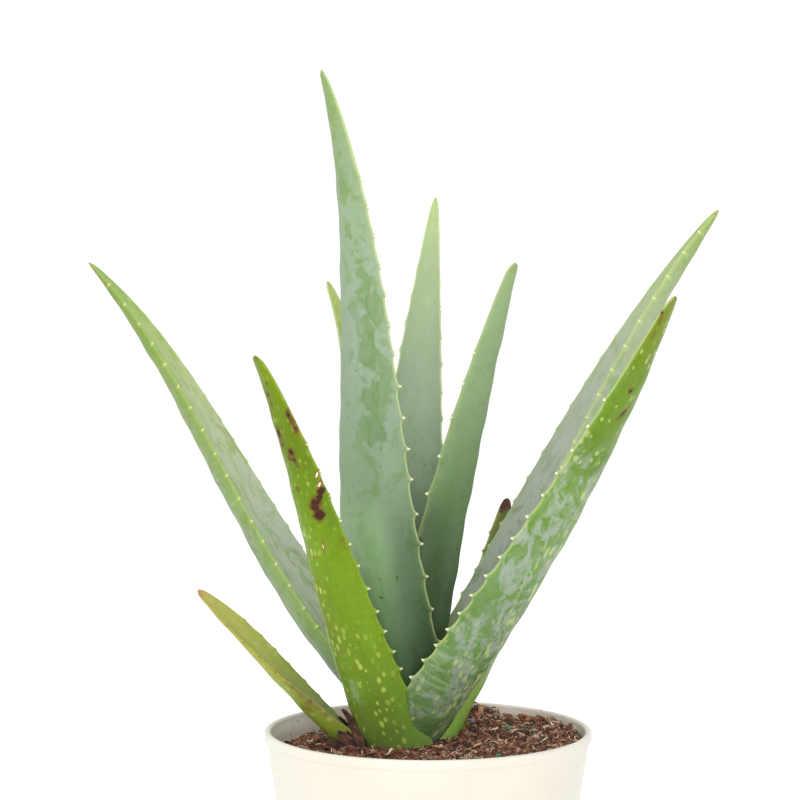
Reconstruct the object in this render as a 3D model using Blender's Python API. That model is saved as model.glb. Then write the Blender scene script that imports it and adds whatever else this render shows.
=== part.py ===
"""Potted aloe vera: a round plastic pot of bark soil and a rosette of ten toothed, fleshy leaves.

Metres, +Z up. The origin is the middle of the pot's flat underside. The viewer stands on -Y.
"""
import math

import bmesh
import bpy
import numpy as np

# Pot
POT_HEIGHT = 0.115
RIM_RADIUS = 0.065
FOOT_RADIUS = 0.048
WALL = 0.0018
FLOOR = 0.003
FOOT_ROUND = 0.003
LIP_OUT = 0.0009          # how far the rim's bead stands proud of the wall
LIP_DEEP = 0.0042
LIP_ROUND = 0.0012
POT_SIDES = 48
POT_SHARP = 35            # edges above this angle stay sharp, degrees

# Soil
SOIL_LEVEL = POT_HEIGHT - 0.0052     # mean height of the soil's top
SOIL_TILT = 0.055                    # the soil lies higher towards +X
SOIL_RISE = 0.0022                   # at the crown
SOIL_RISE_SPREAD = 0.022
MOUND = (0.018, 0.040)               # a low mound behind the crown
MOUND_RISE = 0.0036
MOUND_SPREAD = 0.009
LUMP = 0.0007
LUMP_TURNS = (610, 540, 330)         # radians per metre along X, along Y and of the waver
SOIL_EDGE = 0.0006                   # clearance to the pot's wall
SOIL_CORNER = 0.004
SOIL_RINGS = 9
SOIL_SIDES = 40

# Rosette
CROWN = (-0.0064, 0.0, POT_HEIGHT - 0.003)   # where the stem leaves the soil
STEM_BELOW = 0.030
STEM_ABOVE = 0.016
STEM_FOOT_RADIUS = 0.0055
STEM_TOP_RADIUS = 0.0075
STEM_SIDES = 20

# Leaves
GAP = 0.0003              # clearance between neighbours that touch
GROW = 0.0004             # how much a neighbour is thickened before it is cut away
MARGIN = 0.0012           # thickness of a leaf's edge
CLASP = (0.16, 0.8)       # the base widens over this fraction of the length, with this curve
THICK_TAPER = (1.5, 0.75)           # how the thickness runs out towards the tip
BELLY = (2.2, 0.8)        # how the thickness runs out from the middle to the edges
STAGGER = 0.25            # the two rows of teeth are out of step by this part of their spacing
STAGGER_START = 0.06      # fraction of the length over which the rings begin to slant
STAGGER_TIP = 0.4         # a ring slants by at most this part of what is left to the tip
AXIS_STEPS = 240          # straight steps that the middle line is added up from
LEAF_SHARP = 50           # edges above this angle stay sharp, degrees
TIP_CUP = 18.0            # the hollow of every leaf opens to this half angle at the tip, degrees
TOOTH_HALF_BASE = 0.0024
TOOTH_PART = 0.3          # and at most this part of the spacing
TOOTH_EDGE = 0.6          # a tooth is this much thinner than the edge it stands on
TOOTH_BASE_HEIGHT = 0.0023
TOOTH_TIP_HEIGHT = 0.0013
LAST_TOOTH = 0.84         # fraction of the length
BASE_STATION = 0.4        # the second ring lies at this part of the way to the first tooth
TAIL_STATIONS = (0.885, 0.925, 0.96, 0.985)
# Places around the section, from the left edge over the hollow upper face and back under
ACROSS = np.array([-1.0, -0.85, 0.0, 0.85, 1.0, 1.0, 0.85, 0.35, -0.35, -0.85, -1.0])
UPPER = np.array([True] * 5 + [False] * 6)
# The base end is closed across the crescent by these corners of the ring
BASE_FACES = ((0, 1, 9, 10), (1, 2, 8, 9), (2, 7, 8), (2, 3, 6, 7), (3, 4, 5, 6))

# Each leaf from the innermost outwards. Angles are degrees: lean is the angle from the vertical at
# the base, the middle and the tip, heading is the way the leaf leans (0 is +X, 90 is away from the
# viewer), swing is how far the heading turns along the leaf, and roll twists it about its length.
# root is the base's place from the crown, width follows the curved face, taper shapes the outline,
# spacing is the distance between teeth at the base and near the tip, and tooth_scale shrinks them.
LEAVES = {
    "leaf_tall": dict(
        length=0.261, width=0.047, thick=0.009, lean=(19, 2, 18), heading=214.5, swing=-2,
        roll=(18, -3), cup=48, taper=(1.35, 0.75), base_width=0.85,
        root=(-0.0066, -0.0045, 0.004), spacing=(0.0145, 0.0095), first_tooth=0.030),
    "leaf_inner_right": dict(
        length=0.187, width=0.0375, thick=0.0085, lean=(7, 12, 15.5), heading=-17.5, swing=-4,
        roll=(-1, -10), cup=53, taper=(1.4, 0.6), base_width=0.75,
        root=(0.0041, -0.0024, 0.005), spacing=(0.0145, 0.0125), first_tooth=0.045),
    "leaf_inner_left": dict(
        length=0.182, width=0.0285, thick=0.008, lean=(19, 7, 29.5), heading=134, swing=0,
        roll=(-1, -1), cup=45, taper=(1.4, 0.75), base_width=0.7,
        root=(-0.0066, 0.0058, 0.004), spacing=(0.0125, 0.0105), first_tooth=0.050),
    "leaf_inner_back": dict(
        length=0.218, width=0.0365, thick=0.008, lean=(3.5, 18, 16.5), heading=81.5, swing=-7,
        roll=(-1, -6), cup=42, taper=(1.4, 0.85), base_width=0.7,
        root=(-0.0022, 0.0089, 0.006), spacing=(0.0125, 0.0115), first_tooth=0.050),
    "leaf_front_right": dict(
        length=0.218, width=0.040, thick=0.0085, lean=(40, 33.5, 25.5), heading=-37.5, swing=1,
        roll=(4, 1), cup=51, taper=(1.4, 0.55), base_width=0.75,
        root=(-0.0001, -0.0061, -0.006), spacing=(0.0075, 0.0125), first_tooth=0.022),
    "leaf_front_left": dict(
        length=0.182, width=0.035, thick=0.008, lean=(34.5, 20.5, 29), heading=228, swing=-4,
        roll=(-1, -8), cup=50, taper=(1.25, 0.6), base_width=1.0,
        root=(-0.0065, -0.0089, -0.012), spacing=(0.0080, 0.0120), first_tooth=0.026),
    "leaf_long_left": dict(
        length=0.252, width=0.039, thick=0.0075, lean=(61.5, 32.5, 46.5), heading=154, swing=1,
        roll=(1, 2), cup=30, taper=(1.5, 0.65), base_width=0.75,
        root=(0.0081, 0.0048, -0.004), spacing=(0.0105, 0.0110), first_tooth=0.040),
    "leaf_long_right": dict(
        length=0.259, width=0.038, thick=0.0125, lean=(32, 28.5, 41), heading=22.5, swing=-1,
        roll=(-5, -9), cup=50, taper=(1.5, 0.75), base_width=0.8,
        root=(0.0036, 0.0046, -0.012), spacing=(0.0105, 0.0120), first_tooth=0.034),
    "leaf_short_back": dict(
        length=0.114, width=0.020, thick=0.0055, lean=(32.5, 39, 25.5), heading=58, swing=11,
        roll=(0, 5), cup=39, taper=(1.35, 0.45), base_width=0.75, tooth_scale=0.6,
        root=(0.0109, 0.0102, -0.004), spacing=(0.0090, 0.0090), first_tooth=0.032),
    "leaf_low_left": dict(
        length=0.095, width=0.0175, thick=0.0065, lean=(52.5, 42.5, 45.5), heading=187, swing=-3,
        roll=(10, -43), cup=24, taper=(1.45, 0.65), base_width=0.85, tooth_scale=0.4,
        root=(-0.0179, -0.0016, -0.008), spacing=(0.0085, 0.0085), first_tooth=0.024),
    "dried_sheath": dict(
        length=0.024, width=0.011, thick=0.0015, lean=(8, 14, 44), heading=192, swing=8,
        roll=(0, 14), cup=40, taper=(1.6, 0.7), base_width=0.9,
        root=(-0.0205, -0.0115, -0.009), spacing=(0.0105, 0.0105), first_tooth=0.024),
}


def clearScene():
    for obj in list(bpy.data.objects):
        bpy.data.objects.remove(obj, do_unlink=True)


def makeMaterial(name, colour, roughness):
    mat = bpy.data.materials.new(name)
    mat.use_nodes = True
    bsdf = mat.node_tree.nodes["Principled BSDF"]
    bsdf.inputs["Base Color"].default_value = (*colour, 1.0)
    bsdf.inputs["Roughness"].default_value = roughness
    bsdf.inputs["Metallic"].default_value = 0.0
    return mat


def addObject(name, bm, mat):
    """Closes a bmesh into an object of triangles whose faces point out."""
    bmesh.ops.triangulate(bm, faces=bm.faces[:], ngon_method="EAR_CLIP")
    bmesh.ops.recalc_face_normals(bm, faces=bm.faces[:])
    mesh = bpy.data.meshes.new(name)
    bm.to_mesh(mesh)
    bm.free()
    mesh.materials.append(mat)
    obj = bpy.data.objects.new(name, mesh)
    bpy.context.scene.collection.objects.link(obj)
    return obj


def turned(name, profile, sides, mat):
    """Spins a profile of (radius, height) points, whose ends lie on the axis, about Z."""
    bm = bmesh.new()
    verts = [bm.verts.new((radius, 0.0, height)) for radius, height in profile]
    edges = [bm.edges.new(pair) for pair in zip(verts, verts[1:])]
    bmesh.ops.spin(bm, geom=verts + edges, cent=(0, 0, 0), axis=(0, 0, 1), angle=2 * math.pi,
                   steps=sides, use_duplicate=False)
    bmesh.ops.remove_doubles(bm, verts=bm.verts[:], dist=1e-6)
    return addObject(name, bm, mat)


def potInnerRadius(height):
    outer = FOOT_RADIUS + (RIM_RADIUS - LIP_OUT - FOOT_RADIUS) * height / POT_HEIGHT
    return outer - WALL


def roundCorner(radius, height, bend, start, end):
    """Three points of a quarter circle round (radius, height), from one angle to another."""
    turns = [math.radians(a) for a in (start, (start + end) / 2, end)]
    return [(radius + bend * math.cos(t), height + bend * math.sin(t)) for t in turns]


def makePot(mat):
    """A plain tapered pot with a flat closed foot and a small rounded bead at the rim."""
    top = POT_HEIGHT
    profile = [(0.0, 0.0)]
    profile += roundCorner(FOOT_RADIUS - FOOT_ROUND, FOOT_ROUND, FOOT_ROUND, -90, 0)
    profile += [(RIM_RADIUS - LIP_OUT, top - LIP_DEEP), (RIM_RADIUS, top - LIP_DEEP + LIP_OUT)]
    profile += roundCorner(RIM_RADIUS - LIP_ROUND, top - LIP_ROUND, LIP_ROUND, 0, 90)
    profile += roundCorner(potInnerRadius(top) + LIP_ROUND, top - LIP_ROUND, LIP_ROUND, 90, 180)
    profile += [(potInnerRadius(FLOOR + FOOT_ROUND), FLOOR + FOOT_ROUND),
                (potInnerRadius(FLOOR) - FOOT_ROUND, FLOOR), (0.0, FLOOR)]
    return turned("pot", profile, POT_SIDES, mat)


def bump(x, y, middle, rise, spread):
    away = (x - middle[0]) ** 2 + (y - middle[1]) ** 2
    return rise * math.exp(-away / (2 * spread ** 2))


def soilHeight(x, y):
    """Height of the soil's top: tilted, raised at the crown and in a low mound behind it."""
    lumps = LUMP * math.sin(x * LUMP_TURNS[0] + math.sin(y * LUMP_TURNS[2])) * math.sin(y * LUMP_TURNS[1])
    return (SOIL_LEVEL + SOIL_TILT * x + bump(x, y, CROWN, SOIL_RISE, SOIL_RISE_SPREAD)
            + bump(x, y, MOUND, MOUND_RISE, MOUND_SPREAD) + lumps)


def makeSoil(mat):
    """The soil fills the pot and is a little uneven on top."""
    bm = bmesh.new()
    bottom = FLOOR + GAP
    low_side = FLOOR + SOIL_CORNER
    angles = [2 * math.pi * i / SOIL_SIDES for i in range(SOIL_SIDES)]

    def level(radius, height):
        return [bm.verts.new((radius * math.cos(a), radius * math.sin(a), height)) for a in angles]

    rings = [level(potInnerRadius(bottom) - FOOT_ROUND - SOIL_EDGE, bottom),
             level(potInnerRadius(low_side) - SOIL_EDGE, low_side)]
    for step in range(SOIL_RINGS, 0, -1):
        ring = []
        for a in angles:
            radius = (potInnerRadius(SOIL_LEVEL) - SOIL_EDGE) * step / SOIL_RINGS
            height = soilHeight(radius * math.cos(a), radius * math.sin(a))
            if step == SOIL_RINGS:
                radius = potInnerRadius(height) - SOIL_EDGE
            ring.append(bm.verts.new((radius * math.cos(a), radius * math.sin(a), height)))
        rings.append(ring)
    for low, high in zip(rings, rings[1:]):
        for i in range(SOIL_SIDES):
            j = (i + 1) % SOIL_SIDES
            bm.faces.new((low[i], low[j], high[j], high[i]))
    bm.faces.new(rings[0][::-1])
    centre = bm.verts.new((0.0, 0.0, soilHeight(0.0, 0.0)))
    for i in range(SOIL_SIDES):
        bm.faces.new((rings[-1][i], rings[-1][(i + 1) % SOIL_SIDES], centre))
    return addObject("soil", bm, mat)


def makeStem(name, grow, mat):
    """The short thick stem that the leaves grow from, mostly under the soil."""
    bm = bmesh.new()
    depth = STEM_BELOW + STEM_ABOVE + 2 * grow
    bmesh.ops.create_cone(bm, cap_ends=True, segments=STEM_SIDES, radius1=STEM_FOOT_RADIUS + grow,
                          radius2=STEM_TOP_RADIUS + grow, depth=depth)
    middle = CROWN[2] + (STEM_ABOVE - STEM_BELOW) / 2
    bmesh.ops.translate(bm, verts=bm.verts[:], vec=(CROWN[0], CROWN[1], middle))
    return addObject(name, bm, mat)


def throughThree(s, start, middle, end):
    """A smooth curve through three values at s = 0, 0.5 and 1."""
    return start * (1 - s) * (1 - 2 * s) + middle * 4 * s * (1 - s) + end * s * (2 * s - 1)


def leafFrame(leaf, s):
    """Unit vectors along the leaf, out of its hollow upper face, and across it."""
    lean = np.radians(throughThree(s, *leaf["lean"]))
    heading = np.radians(leaf["heading"] + leaf["swing"] * s)
    roll = np.radians(leaf["roll"][0] + (leaf["roll"][1] - leaf["roll"][0]) * s)[:, None]
    along = np.stack([np.cos(heading) * np.sin(lean), np.sin(heading) * np.sin(lean),
                      np.cos(lean)], -1)
    face = np.stack([-np.cos(heading) * np.cos(lean), -np.sin(heading) * np.cos(lean),
                     np.sin(lean)], -1)
    across = np.cross(face, along)
    return (along, face * np.cos(roll) - across * np.sin(roll),
            across * np.cos(roll) + face * np.sin(roll))


def leafAxis(leaf, s):
    """Points on the leaf's bent middle line."""
    fine = np.linspace(0.0, 1.0, AXIS_STEPS + 1)
    along = leafFrame(leaf, fine)[0]
    steps = (along[1:] + along[:-1]) / 2 * leaf["length"] / AXIS_STEPS
    line = np.vstack([np.zeros(3), np.cumsum(steps, axis=0)])
    line += np.array(CROWN) + np.array(leaf["root"])
    return np.stack([np.interp(s, fine, line[:, k]) for k in range(3)], -1)


def halfWidth(leaf, s):
    power, blunt = leaf["taper"]
    base = leaf["base_width"]
    clasp = base + (1 - base) * np.clip(s / CLASP[0], 0, 1) ** CLASP[1]
    return leaf["width"] / 2 * (1 - s ** power) ** blunt * clasp


def leafRing(leaf, station, tooth, grow):
    """One ring of points around the leaf. The teeth of its two edges are staggered."""
    stagger = STAGGER * leaf["spacing"][0] / leaf["length"] * min(1.0, station / STAGGER_START)
    s = station + ACROSS * min(stagger, STAGGER_TIP * (1 - station))
    half = halfWidth(leaf, s)
    thick = leaf["thick"] * (1 - s ** THICK_TAPER[0]) ** THICK_TAPER[1]
    edge = np.minimum(MARGIN, half / 2)
    cup = np.radians(leaf["cup"] + (TIP_CUP - leaf["cup"]) * s)
    angle = cup * ACROSS
    body = edge + np.maximum(thick - edge, 0) * (1 - np.abs(ACROSS) ** BELLY[0]) ** BELLY[1]
    on_edge = np.abs(ACROSS) == 1.0
    body = np.where(on_edge & (tooth > 0), TOOTH_EDGE * edge, body)
    lift = np.where(UPPER, grow, -body - grow)
    reach = np.where(on_edge, tooth + grow, 0.0)
    side = (half / cup - lift) * np.sin(angle) + np.sign(ACROSS) * reach * np.cos(angle)
    up = half / cup * (1 - np.cos(angle)) + lift * np.cos(angle) + thick / 2
    up = up + reach * np.sin(np.abs(angle))
    along, face, across = leafFrame(leaf, s)
    return leafAxis(leaf, s) + across * side[:, None] + face * up[:, None]


def leafStations(leaf):
    """(station, tooth height) pairs: three to a tooth, then a few towards the tip."""
    length = leaf["length"]
    stations = [(0.0, 0.0), (BASE_STATION * leaf["first_tooth"] / length, 0.0)]
    place = leaf["first_tooth"]
    while place < LAST_TOOTH * length:
        part = place / length
        gap = leaf["spacing"][0] + (leaf["spacing"][1] - leaf["spacing"][0]) * part
        reach = min(TOOTH_HALF_BASE, TOOTH_PART * gap)
        height = TOOTH_BASE_HEIGHT + (TOOTH_TIP_HEIGHT - TOOTH_BASE_HEIGHT) * part
        height *= leaf.get("tooth_scale", 1.0)
        stations += [((place - reach) / length, 0.0), (part, height), ((place + reach) / length, 0.0)]
        place += gap
    return stations + [(s, 0.0) for s in TAIL_STATIONS if s > stations[-1][0]]


def makeLeaf(name, leaf, grow, mat):
    bm = bmesh.new()
    rings = []
    for index, (station, tooth) in enumerate(leafStations(leaf)):
        points = leafRing(leaf, station, tooth, grow)
        if index == 0:
            points = points - leafFrame(leaf, np.zeros(1))[0] * grow
        rings.append([bm.verts.new(point) for point in points])
    count = len(ACROSS)
    for low, high in zip(rings, rings[1:]):
        for i in range(count):
            j = (i + 1) % count
            bm.faces.new((low[i], low[j], high[j], high[i]))
    end = np.ones(1)
    tip = bm.verts.new((leafAxis(leaf, end) + leafFrame(leaf, end)[0] * grow)[0])
    for i in range(count):
        bm.faces.new((rings[-1][i], rings[-1][(i + 1) % count], tip))
    for corners in BASE_FACES:
        bm.faces.new([rings[0][i] for i in corners])
    return addObject(name, bm, mat)


def asCutter(obj):
    obj.hide_render = True
    obj.display_type = "WIRE"
    return obj


def cutAway(obj, cutters):
    """Cuts the thickened neighbours out of a piece and keeps its one main body."""
    for cutter in cutters:
        mod = obj.modifiers.new("cut_" + cutter.name, "BOOLEAN")
        mod.operation = "DIFFERENCE"
        mod.solver = "EXACT"
        mod.object = cutter
    bpy.context.view_layer.update()
    shaped = obj.evaluated_get(bpy.context.evaluated_depsgraph_get())
    mesh = bpy.data.meshes.new_from_object(shaped)
    obj.modifiers.clear()
    obj.data = keepMainBody(mesh)


def keepMainBody(mesh):
    bm = bmesh.new()
    bm.from_mesh(mesh)
    waiting = set(bm.verts)
    bodies = []
    while waiting:
        body = set()
        front = [waiting.pop()]
        while front:
            vert = front.pop()
            body.add(vert)
            for link in vert.link_edges:
                other = link.other_vert(vert)
                if other in waiting:
                    waiting.remove(other)
                    front.append(other)
        bodies.append(body)
    bodies.sort(key=len)
    for body in bodies[:-1]:
        bmesh.ops.delete(bm, geom=list(body), context="VERTS")
    bmesh.ops.triangulate(bm, faces=bm.faces[:])
    bm.to_mesh(mesh)
    bm.free()
    return mesh


def shadeRound(obj, angle):
    obj.data.shade_smooth()
    obj.data.set_sharp_from_angle(angle=math.radians(angle))


def main():
    clearScene()
    plastic = makeMaterial("pot_plastic", (0.80, 0.78, 0.74), 0.45)
    bark = makeMaterial("bark_soil", (0.10, 0.05, 0.03), 0.9)
    pale = makeMaterial("stem_flesh", (0.42, 0.40, 0.22), 0.6)
    dry = makeMaterial("dried_leaf", (0.28, 0.15, 0.09), 0.8)
    skins = {
        "leaf_tall": (0.25, 0.36, 0.25), "leaf_inner_right": (0.16, 0.24, 0.17),
        "leaf_inner_left": (0.34, 0.44, 0.15), "leaf_inner_back": (0.30, 0.42, 0.27),
        "leaf_front_right": (0.20, 0.34, 0.13), "leaf_front_left": (0.19, 0.36, 0.05),
        "leaf_long_left": (0.33, 0.42, 0.22), "leaf_long_right": (0.33, 0.40, 0.30),
        "leaf_short_back": (0.18, 0.22, 0.11), "leaf_low_left": (0.34, 0.35, 0.09)}

    pot = makePot(plastic)
    soil = makeSoil(bark)
    makeStem("stem", 0.0, pale)
    cutters = [asCutter(makeStem("cutter_stem", GAP, pale))]
    for name, leaf in LEAVES.items():
        mat = makeMaterial(name + "_skin", skins[name], 0.5) if name in skins else dry
        piece = makeLeaf(name, leaf, 0.0, mat)
        cutAway(piece, cutters)
        shadeRound(piece, LEAF_SHARP)
        cutters.append(asCutter(makeLeaf("cutter_" + name, leaf, GROW, mat)))
    cutAway(soil, cutters)
    shadeRound(pot, POT_SHARP)


main()
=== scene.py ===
import math
import random
from functools import partial

import bpy
import numpy as np
from mathutils import Euler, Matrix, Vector, noise
from mathutils.bvhtree import BVHTree


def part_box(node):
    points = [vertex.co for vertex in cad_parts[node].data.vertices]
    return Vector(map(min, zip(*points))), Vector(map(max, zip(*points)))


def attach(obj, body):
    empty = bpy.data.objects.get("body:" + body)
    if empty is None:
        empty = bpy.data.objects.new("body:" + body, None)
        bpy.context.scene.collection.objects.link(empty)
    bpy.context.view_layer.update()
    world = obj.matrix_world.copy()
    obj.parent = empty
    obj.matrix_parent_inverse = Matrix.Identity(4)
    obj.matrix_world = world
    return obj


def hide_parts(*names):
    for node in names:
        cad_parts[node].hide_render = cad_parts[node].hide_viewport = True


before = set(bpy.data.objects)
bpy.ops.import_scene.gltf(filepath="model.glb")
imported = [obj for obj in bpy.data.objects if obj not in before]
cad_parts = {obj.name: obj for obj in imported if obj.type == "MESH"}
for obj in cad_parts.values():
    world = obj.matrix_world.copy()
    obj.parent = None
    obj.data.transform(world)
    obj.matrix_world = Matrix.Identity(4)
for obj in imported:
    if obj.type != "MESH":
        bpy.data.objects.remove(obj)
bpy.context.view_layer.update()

potHeight = round(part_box("pot")[1].z, 4)
rimRadius = round(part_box("pot")[1].x, 4)
crown = np.array([-0.0064, 0.0, potHeight - 0.003])    # where the stem leaves the soil


# small helpers

def toLinear(code):   # sRGB hex, as a colour picker shows it, to the shader's linear values
    parts = [int(code[i:i + 2], 16) / 255 for i in (0, 2, 4)]
    return [p / 12.92 if p < 0.04045 else ((p + 0.055) / 1.055) ** 2.4 for p in parts] + [1.0]


def addNode(mat, kind, feeds=None, stops=None, **settings):   # a node with its settings and what feeds it
    node = mat.node_tree.nodes.new("ShaderNode" + kind)
    for key, value in settings.items():
        setattr(node, key, value)
    for key, value in (feeds or {}).items():
        socket = [s for s in node.inputs if s.enabled][key] if isinstance(key, int) else node.inputs[key]
        if isinstance(value, bpy.types.Node):
            value = next(s for s in value.outputs if s.enabled)
        if isinstance(value, bpy.types.NodeSocket):
            mat.node_tree.links.new(value, socket)
        else:
            socket.default_value = toLinear(value) if isinstance(value, str) else value
    for index, (place, value) in enumerate(stops or ()):   # a ramp's stops, each a hex colour or a grey
        elements = node.color_ramp.elements
        element = elements[index] if index < len(elements) else elements.new(place)
        element.position = place
        element.color = toLinear(value) if isinstance(value, str) else (value, value, value, 1.0)
    return node


def newMaterial(name):
    mat = bpy.data.materials.new(name)
    mat.use_nodes = True
    mat.node_tree.nodes.clear()
    return mat


def deselectAll():
    if bpy.context.object and bpy.context.object.mode != "OBJECT":
        bpy.ops.object.mode_set(mode="OBJECT")
    bpy.ops.object.select_all(action="DESELECT")


def makeActive(obj):
    deselectAll()
    obj.select_set(True)
    bpy.context.view_layer.objects.active = obj
    return obj


def applyModifiers(obj):
    makeActive(obj)
    for mod in list(obj.modifiers):
        bpy.ops.object.modifier_apply(modifier=mod.name)


def finishPiece(obj, mat, nodes=(), smooth=60):   # its material, smooth faces, body and slot
    obj.data.materials.clear()
    obj.data.materials.append(mat)
    makeActive(obj)
    bpy.ops.object.shade_smooth_by_angle(angle=math.radians(smooth))
    deselectAll()
    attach(obj, "root")
    for node in nodes:
        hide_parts(node)
    return obj


# camera, floor and light

photo = {"rimPixel": (428, 728.5), "metresPerPixel": 0.3976e-3, "elevation": 10.6, "distance": 1.0, "side": 800,
         "sensor": 36, "farthest": 60}


def placeCamera():
    up = math.radians(photo["elevation"])
    low = (photo["rimPixel"][1] - photo["side"] / 2) * photo["metresPerPixel"]
    below = math.asin(low / photo["distance"])   # how far the rim lies under the middle of the view
    data = bpy.data.cameras.new("photoCamera")
    camera = bpy.data.objects.new("photoCamera", data)
    bpy.context.scene.collection.objects.link(camera)
    data.sensor_width = photo["sensor"]
    seen = photo["metresPerPixel"] * photo["side"]   # the width that the view takes in at the rim
    data.lens = data.sensor_width * photo["distance"] * math.cos(below) / seen
    data.clip_end = photo["farthest"]
    left = (photo["side"] / 2 - photo["rimPixel"][0]) * photo["metresPerPixel"]
    camera.location = (left, -photo["distance"] * math.cos(up), potHeight + photo["distance"] * math.sin(up))
    camera.rotation_euler = (math.pi / 2 - (up - below), 0, 0)
    bpy.context.scene.camera = camera


studio = {
    "floorSize": 30, "floorHex": "FAFAF9", "skyHex": "FFFFFF", "skyPower": 1.06,
    "lamps": [
        ("frontLamp", (0.05, -1.9, 0.55), 0.9, 17), ("leftLamp", (-1.5, -0.3, 1.3), 0.9, 4),
        ("topLamp", (-0.1, 0.3, 1.9), 1.0, 10)]}


def placeStudio():
    deselectAll()
    bpy.ops.mesh.primitive_plane_add(size=studio["floorSize"], location=(0, 0, -0.0005))
    floor = bpy.context.object
    floor.name = "studioFloor"
    paper = newMaterial("whiteBackdropPaper")   # matt white paper: even, with a soft contact shade
    shader = addNode(paper, "BsdfPrincipled", {"Base Color": studio["floorHex"], "Roughness": 0.9})
    addNode(paper, "OutputMaterial", {0: shader})
    floor.data.materials.append(paper)
    world = bpy.data.worlds.new("studioWorld")
    world.use_nodes = True
    world.node_tree.nodes["Background"].inputs[0].default_value = toLinear(studio["skyHex"])
    world.node_tree.nodes["Background"].inputs[1].default_value = studio["skyPower"]
    bpy.context.scene.world = world
    for name, place, size, power in studio["lamps"]:
        data = bpy.data.lights.new(name, "AREA")
        data.shape = "DISK"
        data.size = size
        data.energy = power
        lamp = bpy.data.objects.new(name, data)
        lamp.location = place
        lamp.rotation_euler = (Vector((0, 0, 0.2)) - Vector(place)).to_track_quat("-Z", "Y").to_euler()
        bpy.context.scene.collection.objects.link(lamp)
    bpy.context.scene.view_settings.view_transform = "Standard"


placeCamera()
placeStudio()
print("camera, floor and light are set")


# leaves

leafShape = {
    "gap": 0.0004, "margin": 0.0007, "clasp": (0.16, 0.8), "thickTaper": (1.5, 0.75), "belly": (2.2, 0.8),
    "plump": (0.35, 0.08, 0.5, 0.026), "tipCup": 18.0, "waver": 0.00018, "strip": 0.0013, "stripParts": 5,
    "widestStrip": 0.35, "across": 23, "step": 0.0011, "cutterAcross": 15, "cutterStep": 0.0016,
    "closing": 0.0008, "backAway": 100}   # the back's places on the skin's map start 100 mm further on
toothShape = {   # up and down: height, length in gaps and bend of the flank, then of the cusp, in metres
    "height": (0.0026, 0.0002), "last": 0.84, "stagger": 0.25, "staggerStart": 0.06, "step": 0.00036,
    "zone": 0.0022, "wander": 0.0006, "sizes": (0.8, 1.15), "up": (0.38, 0.75, 2.2, 0.62, 0.0018, 1.8),
    "down": (0.28, 0.35, 1.6, 0.72, 0.0013, 1.3), "pinch": (0.6, 0.0018), "flare": 1.3}


def throughThree(s, start, middle, end):   # a smooth curve through three values at s = 0, 0.5 and 1
    return start * (1 - s) * (1 - 2 * s) + middle * 4 * s * (1 - s) + end * s * (2 * s - 1)


def leafFrame(leaf, s):   # unit vectors along the leaf, out of its hollow upper face, and across it
    lean = np.radians(throughThree(s, *leaf["lean"]))
    heading = np.radians(leaf["heading"] + leaf["swing"] * s)
    roll = np.radians(leaf["roll"][0] + (leaf["roll"][1] - leaf["roll"][0]) * s)[..., None]
    along = np.stack([np.cos(heading) * np.sin(lean), np.sin(heading) * np.sin(lean), np.cos(lean)], -1)
    face = np.stack([-np.cos(heading) * np.cos(lean), -np.sin(heading) * np.cos(lean), np.sin(lean)], -1)
    across = np.cross(face, along)
    return along, face * np.cos(roll) - across * np.sin(roll), across * np.cos(roll) + face * np.sin(roll)


def leafAxis(leaf, s):   # points on the bent middle line
    fine = np.linspace(0, 1, 241)
    along = leafFrame(leaf, fine)[0]
    steps = (along[1:] + along[:-1]) / 2 * leaf["length"] / 240
    line = np.vstack([np.zeros(3), np.cumsum(steps, axis=0)]) + crown + np.array(leaf["root"])
    return np.stack([np.interp(s, fine, line[:, k]) for k in range(3)], -1)


def halfWidth(leaf, s):   # half the leaf's width, without its teeth
    power, blunt = leaf["taper"]
    grip, curve = leafShape["clasp"]
    clasp = leaf["baseWidth"] + (1 - leaf["baseWidth"]) * np.clip(s / grip, 0, 1) ** curve
    plump, reach, blob, near = leaf.get("plump", leafShape["plump"])
    tip = 1 + plump * np.exp(-((1 - s) / reach) ** 2) + blob * np.exp(-((1 - s) / near) ** 2)
    return leaf["width"] / 2 * np.clip(1 - s ** power, 0, 1) ** blunt * clasp * tip


def toothPlaces(leaf):   # (place from the base, gap to the next, height) of each pair of teeth
    places = []
    place = leaf["firstTooth"]
    low, high = toothShape["height"]
    while place < leaf.get("lastTooth", toothShape["last"]) * leaf["length"]:
        part = place / leaf["length"]
        gap = leaf["spacing"][0] + (leaf["spacing"][1] - leaf["spacing"][0]) * part
        places.append((place, gap, (low + (high - low) * part ** 2.5) * leaf.get("toothScale", 1)))
        place += gap
    return places


def toothShift(leaf, place):   # how far the teeth of a pair stand from their middle, nothing at the base
    near = min(1, place / leaf["length"] / toothShape["staggerStart"])
    return toothShape["stagger"] * leaf["spacing"][0] * near


def toothRise(away, gap, flank, flankLength, flankBend, cusp, cuspLength, cuspBend):   # a tooth's one side
    slope = flank * np.clip(1 - away / (flankLength * gap), 0, 1) ** flankBend
    return slope + cusp * np.clip(1 - away / cuspLength, 0, 1) ** cuspBend


def toothReach(leaf, y, side, rng):   # at the places y: how far the margin stands out, what part of the tooth's
    reach = np.zeros_like(y)          # height this is, and how far the cusp is along the margin
    part = np.zeros_like(y)
    away = np.full_like(y, 0.02)
    for place, gap, height in toothPlaces(leaf):
        wander = rng.uniform(-toothShape["wander"], toothShape["wander"])
        d = y - place - side * toothShift(leaf, place) - wander
        height *= rng.uniform(*toothShape["sizes"])
        rise = np.where(d > 0, toothRise(d, gap, *toothShape["up"]), toothRise(-d, gap, *toothShape["down"]))
        reach = np.maximum(reach, height * rise)
        part = np.where(np.abs(d) < away, rise, part)
        away = np.minimum(away, np.abs(d))
    return reach, part, away


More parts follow.
